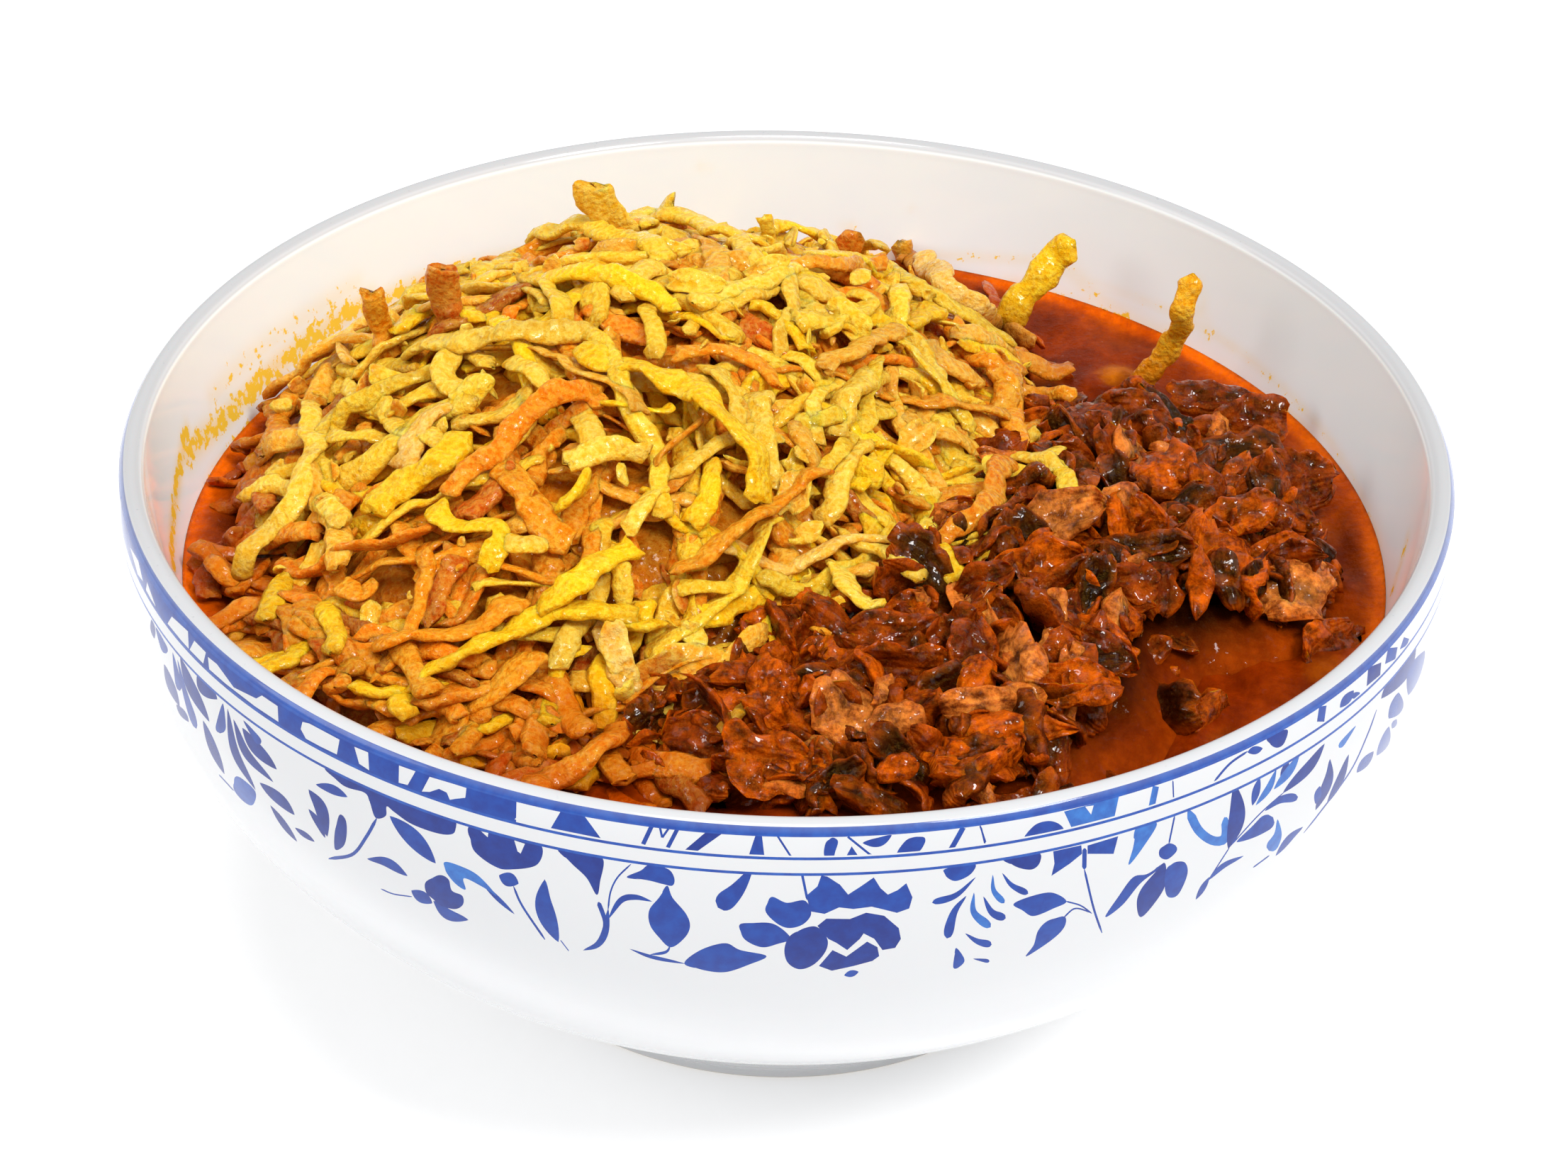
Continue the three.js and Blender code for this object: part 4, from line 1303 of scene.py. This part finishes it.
def lay_flake(batch, colour, lift, left, top, right, bottom, rng, **look):
    """A flake that fills a box of the photograph"""
    wide, tall = (right - left) / PHOTO_PIXELS_PER_MM, (bottom - top) / PHOTO_PIXELS_PER_MM
    centre = food_from_photo([((left + right) / 2, (top + bottom) / 2)], lift)[0]
    facing = -CAMERA_FORWARD + np.array([rng.normal(0, 0.25), rng.normal(0, 0.2), rng.uniform(0.1, 0.7)])
    heading = CAMERA_RIGHT if wide > tall else CAMERA_UP
    heading = heading + np.array([rng.normal(0, 0.25), rng.normal(0, 0.2), rng.normal(0, 0.2)])
    length, width = 1.1 * max(wide, tall), 1.1 * max(min(wide, tall), 2.5)
    flake(batch, centre, facing, heading, length, width, colour, rng, **look)


def make_onion_heap(material, core_material):
    # The onion core's dark middle colour is painted shade for the gaps between the flakes
    make_core("onion_heap_core", ONION_HEAP, linear(56, 16, 1), linear(134, 48, 2), core_material,
              ("fried_onion_heap",), 61)
    rng = np.random.default_rng(19)
    large = Batch()
    scatter_flakes(large, LARGE_FLAKES, (6, 12), (-0.6, 1.6), rng, 14, 10)
    large.piece("onion_flakes_below", material, "fried_onion")
    small = Batch()
    scatter_flakes(small, SMALL_CHIPS, (2.5, 6), (-0.2, 2.2), rng, CHIP_ROWS, CHIP_COLUMNS)
    small.piece("onion_chips", material, "fried_onion")
    front = Batch()
    left, top = np.min(ONION_FRONT, axis=0)
    right, bottom = np.max(ONION_FRONT, axis=0)
    for _ in range(FRONT_TRIES):
        pixel = (rng.uniform(left, right), rng.uniform(top, bottom))
        if in_outline(pixel, ONION_FRONT):
            centre = food_from_photo([pixel], rng.uniform(-0.8, 0.8))[0]
            facing = np.array([rng.normal(0, 0.6), rng.normal(0, 0.6) - 0.3, 1.0])
            length = rng.uniform(5, 11)
            colour = (AMBER, BRIGHT_AMBER, DARK_ONION, AMBER)[rng.integers(0, 4)]
            flake(front, centre, facing, rng.normal(size=3), length, length * 0.6, colour, rng, 14, 10,
                thickness=1.2)
    front.piece("onion_flakes_front", material, "fried_onion")
    shown = Batch()
    for colour, left, top, right, bottom in SHOWN_FLAKES:
        lay_flake(shown, colour, 2.4, left, top, right, bottom, rng, thickness=1.3)
    shown.piece("onion_flakes_shown", material, "fried_onion")


# The fried potato straws
PALE = linear(241, 205, 67)
CREAM = linear(247, 210, 90)
YELLOW = linear(255, 210, 8)
GOLDEN = linear(231, 141, 3)
PEACH = linear(242, 180, 74)
PINK = linear(250, 202, 122)
LONE_GOLD = linear(252, 184, 30)
ORANGE = linear(234, 131, 2)
RUST = linear(200, 80, 3)
SOAKED = linear(172, 67, 1)
TOASTED = linear(154, 72, 8)
WARM_PAINTED_SHADE = (1.0, 0.76, 0.34)
STRAW_STEP = 0.42
STRAW_SIDES = 14
FILLER_STEP = 0.7
FILLER_SIDES = 8
CLEAR_PIXELS = 14
BACK_ROW = 300
SOAK_HEIGHT = 8
SOAK_SHARE = 0.9
SOAKED_STRAWS = 110
CRUMBS = 160

# Pixels round the soaked straws at the front left
SOAKED_BAND = ((290, 800), (360, 885), (440, 950), (560, 1020), (700, 1072), (860, 1108), (960, 1118),
    (900, 1000),
               (700, 960), (500, 880), (380, 780))

# Straws placed where they are seen: colour, width, height over the core, and pixels along each
SHOWN_STRAWS = (
    (PALE, 4.0, 1.5, (825, 354), (902, 344), (1014, 323), (1075, 320)),
    (PALE, 3.1, 1.2, (1096, 332), (1167, 359), (1239, 400)),
    (CREAM, 3.4, 3.6, (572, 505), (640, 492), (738, 470), (835, 466)),
    (PALE, 4.0, 2.2, (850, 372), (830, 410), (845, 460)),
    (CREAM, 3.0, 4.6, (440, 570), (434, 625), (422, 680), (400, 720), (365, 765), (340, 820)),
    (PINK, 3.8, 3.0, (560, 665), (590, 610), (632, 573)),
    (YELLOW, 4.4, 3.8, (523, 727), (554, 692), (610, 656), (655, 618)),
    (ORANGE, 2.8, 4.2, (625, 706), (687, 640), (748, 579), (814, 553), (855, 573)),
    (CREAM, 2.6, 3.4, (717, 507), (768, 538), (809, 553)),
    (PALE, 2.3, 2.4, (457, 624), (500, 622), (544, 619)),
    (CREAM, 3.4, 3.2, (630, 475), (640, 530), (672, 560)),
    (PINK, 3.3, 3.4, (1280, 344), (1310, 395), (1371, 436), (1427, 461), (1458, 487)),
    (RUST, 2.1, 2.0, (1392, 400), (1427, 451), (1470, 487)),
    (PEACH, 3.8, 3.6, (1300, 482), (1341, 507), (1376, 533)),
    (YELLOW, 4.0, 2.6, (1270, 462), (1300, 440), (1320, 436)),
    (GOLDEN, 3.3, 3.0, (1341, 451), (1387, 507), (1417, 573), (1433, 640)),
    (PEACH, 2.8, 4.6, (1157, 527), (1208, 497), (1264, 461)),
    (YELLOW, 4.0, 5.2, (825, 488), (902, 527), (968, 553), (1019, 599), (1055, 655), (1068, 712)),
    (PALE, 2.4, 3.0, (915, 507), (922, 430)),
    (YELLOW, 2.4, 4.0, (851, 568), (900, 572), (953, 568)),
    (GOLDEN, 2.4, 3.6, (948, 502), (1004, 497), (1055, 512), (1100, 548)),
    (CREAM, 4.1, 3.4, (1070, 558), (1080, 620), (1096, 684)),
    (CREAM, 3.0, 3.2, (994, 517), (1040, 573), (1055, 612)),
    (PALE, 2.1, 3.6, (1235, 505), (1232, 573), (1208, 609), (1150, 680)),
    (PEACH, 2.8, 3.4, (1120, 594), (1140, 630), (1155, 668)),
    (PEACH, 3.1, 3.6, (1275, 589), (1315, 609), (1361, 624), (1402, 655)),
    (ORANGE, 2.8, 3.6, (1433, 655), (1392, 701), (1336, 747), (1290, 780)),
    (PALE, 2.4, 4.2, (1494, 631), (1509, 656), (1530, 692), (1530, 722)),
    (GOLDEN, 3.3, 5.0, (1167, 666), (1106, 702), (1045, 743), (994, 779), (948, 806)),
    (PINK, 2.4, 4.4, (1014, 768), (1086, 779), (1157, 779), (1234, 768), (1312, 762)),
    (CREAM, 3.3, 4.2, (1162, 790), (1198, 824), (1249, 850)),
    (PALE, 2.1, 3.4, (948, 835), (1004, 830), (1055, 835)),
    (GOLDEN, 2.3, 2.6, (1106, 860), (1157, 886), (1188, 891)),
    (PEACH, 2.3, 3.2, (1014, 957), (1045, 916), (1081, 886)),
    (CREAM, 2.1, 3.0, (1014, 1034), (1045, 998), (1086, 983)),
    (YELLOW, 3.7, 4.4, (763, 858), (799, 819), (855, 779), (905, 762)),
    (PALE, 2.4, 3.4, (877, 784), (880, 818), (877, 852)),
    (YELLOW, 3.3, 4.0, (800, 870), (861, 865), (935, 878)),
    (PINK, 3.3, 3.2, (850, 882), (871, 932), (894, 982)),
    (CREAM, 2.6, 3.2, (882, 757), (917, 707), (943, 687)),
    (YELLOW, 3.0, 2.8, (973, 743), (994, 687), (1004, 646)),
    (CREAM, 3.3, 4.4, (795, 655), (851, 628), (920, 642)),
    (GOLDEN, 2.8, 3.4, (922, 658), (953, 622), (982, 598)),
    (CREAM, 3.0, 3.2, (1155, 735), (1193, 666), (1224, 628)),
    (YELLOW, 3.0, 3.4, (1198, 690), (1225, 660), (1252, 634)),
    (PALE, 2.8, 2.8, (1110, 638), (1147, 702)),
    (GOLDEN, 3.8, 2.6, (427, 845), (452, 896), (488, 916), (542, 950)),
    (GOLDEN, 3.4, 3.4, (534, 908), (585, 896), (641, 906), (712, 865), (742, 846)),
    (YELLOW, 3.7, 4.4, (564, 978), (610, 952), (687, 916), (753, 891), (814, 872), (900, 870)),
    (GOLDEN, 4.0, 3.6, (620, 1052), (651, 1008), (702, 967), (753, 925)),
    (ORANGE, 2.8, 2.2, (727, 962), (768, 985), (794, 1029), (773, 1066), (720, 1080)),
    (ORANGE, 3.7, 1.8, (660, 1042), (733, 1020)),
    (ORANGE, 3.0, 3.2, (391, 794), (457, 779), (534, 768), (612, 742)),
    (YELLOW, 3.3, 3.6, (615, 712), (651, 745), (692, 753), (687, 804)),
    (GOLDEN, 3.8, 3.0, (705, 655), (758, 722), (812, 770)),
    (CREAM, 2.4, 3.4, (702, 763), (773, 768)),
    (YELLOW, 3.1, 3.6, (784, 717), (825, 677)),
    (RUST, 3.1, 2.0, (605, 878), (625, 820), (641, 772)),
    (GOLDEN, 3.7, 2.0, (440, 735), (470, 722), (493, 698)),
    (SOAKED, 3.0, 1.4, (294, 845), (310, 790), (345, 748)),
    (GOLDEN, 2.8, 2.2, (335, 640), (386, 612), (430, 616)),
    (RUST, 3.3, 2.0, (350, 680), (386, 722)),
    (SOAKED, 2.6, 1.4, (427, 957), (488, 975), (559, 978)),
    (SOAKED, 3.0, 1.2, (330, 830), (380, 880), (420, 935)),
    (GOLDEN, 2.6, 2.6, (478, 820), (505, 835), (523, 822)),
    (CREAM, 3.3, 2.6, (700, 640), (730, 600), (745, 560)),
    (CREAM, 3.1, 2.8, (815, 580), (840, 620), (835, 655)),
    (PALE, 3.7, 1.8, (925, 395), (985, 402), (1045, 392)),
    (PALE, 3.4, 2.0, (960, 420), (1010, 445), (1040, 480)),
    (CREAM, 3.3, 2.2, (1120, 372), (1150, 412), (1195, 432)),
    (YELLOW, 3.1, 3.0, (1060, 430), (1110, 450), (1140, 500)),
    (PALE, 4.0, 3.0, (1155, 470), (1190, 450), (1230, 430)),
    (PALE, 3.4, 1.6, (490, 520), (540, 530), (600, 518)),
    (PALE, 3.1, 2.0, (540, 590), (590, 560), (640, 545)),
    (CREAM, 3.0, 2.6, (640, 600), (700, 575), (745, 548)),
    (RUST, 3.8, 1.0, (1040, 455), (1090, 485)),
    (RUST, 4.0, 1.6, (655, 740), (690, 700), (705, 650)),
)

# Wide torn shreds: colour, height over the core, then the left, top, right and bottom pixels
SHOWN_SHREDS = (
    (CREAM, 4.0, 1120, 738, 1158, 766),
    (CREAM, 2.6, 1158, 845, 1188, 878),
    (PINK, 3.6, 856, 882, 894, 975),
    (PALE, 3.0, 945, 385, 1020, 420),
    (PALE, 3.4, 1170, 430, 1225, 480),
    (PALE, 3.0, 905, 335, 975, 368),
    (CREAM, 3.4, 1050, 360, 1110, 392),
    (PEACH, 3.6, 1275, 595, 1320, 640),
    (PALE, 3.4, 1385, 640, 1418, 695),
    (YELLOW, 4.0, 1200, 640, 1245, 685),
    (PALE, 3.0, 520, 522, 580, 552),
    (PALE, 3.2, 645, 525, 685, 580),
    (PEACH, 3.4, 1100, 665, 1140, 725),
    (CREAM, 2.6, 965, 875, 995, 920),
    (SOAKED, 1.4, 850, 935, 960, 1015),
    (SOAKED, 1.2, 890, 1000, 1000, 1066),
    (ORANGE, 1.6, 940, 915, 1040, 985),
)

# Straws that stand up out of the heap: colour, width, flatness, pixels from the foot up
STANDING_STRAWS = (
    (CREAM, 5.6, 0.25, (876, 352), (862, 318), (846, 284), (836, 258)),
    (RUST, 3.2, 0.5, (838, 318), (822, 292), (812, 276)),
    (PALE, 3.6, 0.35, (900, 345), (925, 318), (952, 284)),
    (PALE, 3.0, 0.6, (1086, 360), (1082, 328), (1075, 298)),
    (RUST, 4.4, 0.55, (640, 476), (632, 425), (627, 374)),
    (GOLDEN, 3.2, 0.6, (556, 508), (538, 455), (522, 408)),
    (RUST, 3.6, 0.4, (1180, 368), (1196, 348), (1212, 328)),
    (GOLDEN, 3.6, 0.6, (600, 440), (607, 405), (612, 390)),
    (CREAM, 3.2, 0.7, (1282, 372), (1276, 352), (1270, 336)),
)


def ribbon(batch, path, width, flatness, colour, rng, tip=TOASTED, step=STRAW_STEP, sides=STRAW_SIDES):
    """One straw: a crinkled flat bar along a path, with ragged edges and torn, browned ends"""
    seed = rng.integers(1, 900)
    length = np.linalg.norm(np.diff(path, axis=0), axis=1).sum()
    count = max(8, round(length / step))
    line = spline(path, count)
    share = np.linspace(0, 1, count)
    mid_way = np.clip(np.minimum(share, 1 - share) * 6, 0, 1)[:, None]
    for size, reach in ((7.5, 1.9), (3.0, 0.6)):
        kinks = np.stack([grain(line, size, seed + 11 + k) for k in range(3)], axis=1)
        line = line + kinks * mid_way * reach * min(1, length / 20)
    heading = np.gradient(line, axis=0)
    heading /= np.linalg.norm(heading, axis=1, keepdims=True)
    side = np.cross(heading[0], UP)
    if np.linalg.norm(side) < 0.5:
        side = np.cross(heading[0], CAMERA_FORWARD)
    across = []
    for direction in heading:
        side = side - direction * (side @ direction)
        side = side / np.linalg.norm(side)
        across.append(side)
    across = np.array(across)
    lift = np.cross(across, heading)
    twist = rng.uniform(-0.5, 0.5) + rng.uniform(-0.7, 0.7) * share + 0.5 * grain(line, 5.0, seed + 14)
    wide = across * np.cos(twist)[:, None] + lift * np.sin(twist)[:, None]
    thin = lift * np.cos(twist)[:, None] - across * np.sin(twist)[:, None]
    to_end = np.minimum(share, 1 - share) * length
    taper = np.clip(to_end / 0.5, 0.02, 1) ** 0.5
    uneven = 1 + 0.18 * grain(line, 6.0, seed) + 0.22 * grain(line, 1.8, seed + 1)
    half = (width / 2) * taper * uneven * (1 - rng.uniform(0, 0.15) * share)
    angle = np.linspace(0, 2 * math.pi, sides, endpoint=False)
    cos = np.sign(np.cos(angle)) * np.abs(np.cos(angle)) ** 0.8
    sin = np.sign(np.sin(angle)) * np.abs(np.sin(angle)) ** 0.8
    spoke = wide[:, None, :] * cos[None, :, None] + thin[:, None, :] * (sin * flatness)[None, :, None]
    points = (line[:, None, :] + spoke * half[:, None, None]).reshape(-1, 3)
    outward = spoke.reshape(-1, 3)
    outward = outward / np.linalg.norm(outward, axis=1, keepdims=True)
    blisters = 0.2 * grain(points, 1.5, seed + 2) + 0.18 * grain(points, 0.8, seed + 3)
    torn = np.repeat(np.exp(-to_end / 1.2), sides) * grain(points, 1.3, seed + 6) * 1.4
    points = points + outward * (blisters * np.repeat(taper, sides) * min(1, width / 3))[:, None]
    points = points + np.repeat(heading, sides, axis=0) * torn[:, None]
    quads = sheet_faces(count, sides, True)
    start = np.arange(sides)[None, :]
    end = start[:, ::-1] + (count - 1) * sides
    at_tip = np.repeat(np.exp(-to_end / 1.4), sides) * rng.uniform(0, 0.6)
    browned = at_tip + 0.5 * np.clip(grain(points, 3.0, seed + 4) - 0.25, 0, 1)
    edge = np.tile(np.abs(cos) ** 6, count)
    tint = blend(colour, tip, browned)
    tint = blend(tint, colour * (0.95, 0.78, 0.45), edge * 0.5)
    tint = blend(tint, CREAM, 0.3 * np.clip(grain(points, 2.0, seed + 5), 0, 1))
    # Painted shade: straws turn warmer and darker deep in the heap and on their undersides
    depth = np.clip(1 - (points[:, 2] - food_height(points[:, 0], points[:, 1])) / 3.5, 0, 1)
    under = np.clip(-outward[:, 2], 0, 1)
    tint = blend(tint, tint * WARM_PAINTED_SHADE, np.maximum(0.75 * depth, 0.45 * under))
    soak = np.clip((STEW_TOP + SOAK_HEIGHT - points[:, 2]) / SOAK_HEIGHT + 0.35 * grain(points, 5.0, 3), 0, 1)
    tint = blend(tint, SOAKED * rng.uniform(0.5, 1.15), soak * SOAK_SHARE)
    tint = tint * rng.uniform(0.85, 1.08)
    batch.add(points, quads, start, end, tint=tint, wet=soak)


def shown_path(pixels, lift, width):
    """A straw's path over the bare contents, sagging a little to its ends"""
    line = spline(pixels, 9)
    sag = 1 - 0.25 * (2 * np.linspace(0, 1, 9) - 1) ** 2
    points = food_from_photo(line, lift * sag)
    return keep_in_bowl(points, width / 2 + 0.6)


def standing_path(pixels, width):
    """A path that starts on the heap and rises in the upright plane through its foot"""
    foot = food_from_photo(pixels[:1], 0.4)[0]
    rays = photo_rays(pixels)
    reach = (foot[1] - CAMERA_PLACE[1]) / rays[:, 1]
    return keep_in_bowl(CAMERA_PLACE + rays * reach[:, None], width / 2 + 0.6)


def filler_colour(height, deep, rng):
    """Pale at the top of the heap, golden and soaked near the stew, and golden deep inside"""
    high = (YELLOW, GOLDEN, PALE, GOLDEN, ORANGE) if deep else (PALE, CREAM, PALE, YELLOW, PEACH, PALE,
        CREAM, GOLDEN)
    low = (GOLDEN, ORANGE, SOAKED, RUST) if deep else (GOLDEN, ORANGE, SOAKED, PEACH, GOLDEN, ORANGE,
        YELLOW, PINK)
    kinds = high if rng.uniform(0, 1) < np.clip((height - 3) / 8, 0.06, 0.95) else low
    return kinds[rng.integers(0, len(kinds))]


def scatter_straws(batch, count, lifts, widths, lengths, avoided, rng):
    """Straws at random over the potato heap, lying along its slope and off the pixels to avoid"""
    for x, y, share in heap_spots(POTATO_HEAP, count, rng, 0.99):
        heading = rng.uniform(0, math.pi)
        length = rng.uniform(*lengths) * (1 if share < 0.75 else 0.7)
        width = rng.uniform(*widths)
        bend = rng.uniform(-0.5, 0.5) * length
        lift = rng.uniform(*lifts)
        along = np.linspace(-0.5, 0.5, 7)
        aside = bend * (0.25 - along**2)
        px = x + along * length * math.cos(heading) - aside * math.sin(heading)
        py = y + along * length * math.sin(heading) + aside * math.cos(heading)
        pz = food_height(px, py) + lift + rng.uniform(-0.12, 0.12) * along * length
        pz = np.maximum(pz, STEW_TOP + 0.2)
        path = keep_in_bowl(np.stack([px, py, pz], axis=1), width / 2 + 0.8)
        pixels = np.array([photo_pixel(point) for point in path])
        if in_outline(pixels[3], ONION_FRONT) and rng.uniform(0, 1) < 0.85:
            continue
        if len(avoided):
            away = np.linalg.norm(pixels[:, None, :] - avoided[None, :, :], axis=2).min(axis=1)
            if (away < CLEAR_PIXELS).mean() > 0.3 and pixels[3][1] > BACK_ROW:
                continue
        colour = filler_colour(pz.mean() - STEW_TOP, len(avoided) == 0, rng)
        ribbon(batch, path, width, rng.uniform(0.26, 0.5), colour, rng, step=FILLER_STEP, sides=FILLER_SIDES)


def soak_straws(batch, count, rng):
    """Soaked straws that lie low in the stew at the front left"""
    left, top = np.min(SOAKED_BAND, axis=0)
    right, bottom = np.max(SOAKED_BAND, axis=0)
    while count:
        pixel = (rng.uniform(left, right), rng.uniform(top, bottom))
        if not in_outline(pixel, SOAKED_BAND):
            continue
        count -= 1
        middle = food_from_photo([pixel], rng.uniform(0.2, 2.2))[0]
        turn = rng.uniform(0, math.pi)
        length, width = rng.uniform(8, 20), rng.uniform(2.0, 3.6)
        along = np.linspace(-0.5, 0.5, 7)[:, None]
        bend = rng.uniform(-0.4, 0.4) * length * (0.25 - along**2)
        heading = np.array([math.cos(turn), math.sin(turn), rng.uniform(-0.12, 0.12)])
        aside = np.array([-math.sin(turn), math.cos(turn), 0])
        path = keep_in_bowl(middle + along * length * heading + bend * aside, width / 2 + 0.8)
        colour = (SOAKED, ORANGE, GOLDEN, ORANGE, GOLDEN, YELLOW)[rng.integers(0, 6)]
        ribbon(batch, path, width, rng.uniform(0.3, 0.55), colour, rng, step=FILLER_STEP, sides=FILLER_SIDES)


def make_potato_heap(material):
    make_core("potato_heap_core", POTATO_HEAP, linear(226, 132, 3), linear(150, 62, 2), material,
              ("fried_potato_heap",), 31)
    rng = np.random.default_rng(11)
    shown_pixels = np.vstack([spline(pixels, 9) for _, _, _, *pixels in SHOWN_STRAWS])
    for name, count, lifts, widths, lengths, avoided in (
        ("potato_straws_lowest", 420, (-0.9, 0.8), (2.0, 3.4), (10, 24), []),
        ("potato_straws_middle", 330, (0.2, 2.2), (2.0, 3.8), (12, 30), shown_pixels),
        ("potato_straws_upper", 170, (1.4, 3.8), (2.0, 3.4), (12, 34), shown_pixels),
    ):
        batch = Batch()
        scatter_straws(batch, count, lifts, widths, lengths, avoided, rng)
        batch.piece(name, material, "fried_potato")
    soaked = Batch()
    soak_straws(soaked, SOAKED_STRAWS, rng)
    soaked.piece("potato_straws_soaked", material, "fried_potato")
    shown = Batch()
    for colour, width, lift, *pixels in SHOWN_STRAWS:
        ribbon(shown, shown_path(pixels, lift, width), width, rng.uniform(0.28, 0.48), colour, rng)
    for colour, width, flatness, *pixels in STANDING_STRAWS:
        ribbon(shown, standing_path(pixels, width), width, flatness, colour, rng, tip=GOLDEN)
    shown.piece("potato_straws_shown", material, "fried_potato")
    shreds = Batch()
    for colour, lift, left, top, right, bottom in SHOWN_SHREDS:
        lay_flake(shreds, colour, lift, left, top, right, bottom, rng, crease=0.5, low=GOLDEN, high=CREAM)
    shreds.piece("potato_shreds", material, "fried_potato")
    crumbs = Batch()
    for x, y, _ in heap_spots(POTATO_HEAP, CRUMBS, rng, 0.98):
        facing = rng.normal(size=3)
        size = rng.uniform(1.2, 4.0)
        centre = np.array([x, y, food_height(x, y) + rng.uniform(1.0, 3.4)])
        colour = (PALE, CREAM, GOLDEN, PEACH, RUST)[rng.integers(0, 5)]
        flake(crumbs, centre, facing, rng.normal(size=3), size, size * 0.7, colour, rng, 7, 6, 0.3, GOLDEN,
            CREAM)
    crumbs.piece("potato_crumbs", material, "fried_potato")


def make_lone_straws(material):
    rng = np.random.default_rng(23)
    for name, node, path, width, colour in (
        ("upright_potato_straw", "upright_straw", UPRIGHT_STRAW, UPRIGHT_WIDTH, LONE_GOLD),
        ("yellow_potato_straw", "yellow_straw", YELLOW_STRAW, YELLOW_WIDTH, YELLOW),
    ):
        batch = Batch()
        points = np.array(path, float) + (0, 0, STEW_TOP)
        ribbon(batch, points, width, 0.5, colour, rng, tip=colour)
        batch.piece(name, material, "fried_potato", node)


# Floor, light and camera
def make_stage():
    bpy.ops.mesh.primitive_plane_add(size=8)
    floor = bpy.context.object
    floor.name = "floor"
    surface = Surface("pale_floor")
    surface.set(Base_Color=(0.8, 0.8, 0.8), Roughness=0.9, Emission_Color=(1.0, 1.0, 1.0, 1.0),
        Emission_Strength=0.36)
    floor.data.materials.append(surface.material)
    world = bpy.data.worlds.new("soft_studio")
    world.use_nodes = True
    world.node_tree.nodes["Background"].inputs["Color"].default_value = (1, 1, 1, 1)
    world.node_tree.nodes["Background"].inputs["Strength"].default_value = 0.57
    bpy.context.scene.world = world
    for name, azimuth, elevation, spread, strength in (
        ("key_light", -42, 54, 18, 1.95),
        ("fill_light", -168, 30, 30, 0.6),
        ("top_light", -100, 80, 22, 1.15),
    ):
        lamp = bpy.data.lights.new(name, "SUN")
        lamp.angle = math.radians(spread)
        lamp.energy = strength
        light = bpy.data.objects.new(name, lamp)
        turn, tilt = math.radians(azimuth), math.radians(elevation)
        toward = Vector((math.cos(turn) * math.cos(tilt), math.sin(turn) * math.cos(tilt), math.sin(tilt)))
        light.location = toward
        light.rotation_mode = "QUATERNION"
        light.rotation_quaternion = (-toward).to_track_quat("-Z", "Y")
        bpy.context.scene.collection.objects.link(light)


def make_camera():
    lens = bpy.data.cameras.new("camera")
    lens.sensor_width = SENSOR_WIDTH
    lens.lens = FOCAL_PIXELS / IMAGE_WIDTH * SENSOR_WIDTH
    lens.clip_start = 0.01
    lens.clip_end = 20
    camera = bpy.data.objects.new("camera", lens)
    columns = np.stack([CAMERA_RIGHT, CAMERA_UP, -CAMERA_FORWARD, CAMERA_PLACE * MM], axis=1)
    camera.matrix_world = Matrix([*columns.tolist(), [0, 0, 0, 1]])
    bpy.context.scene.collection.objects.link(camera)
    bpy.context.scene.camera = camera
    bpy.context.scene.view_settings.view_transform = "Standard"


make_camera()
make_stage()
make_bowl()
sauce_finish = sauce_material()
make_stew(sauce_finish)
straw_finish = straw_material()
make_potato_heap(straw_finish)
make_lone_straws(straw_finish)
make_onion_heap(onion_material(), sauce_finish)
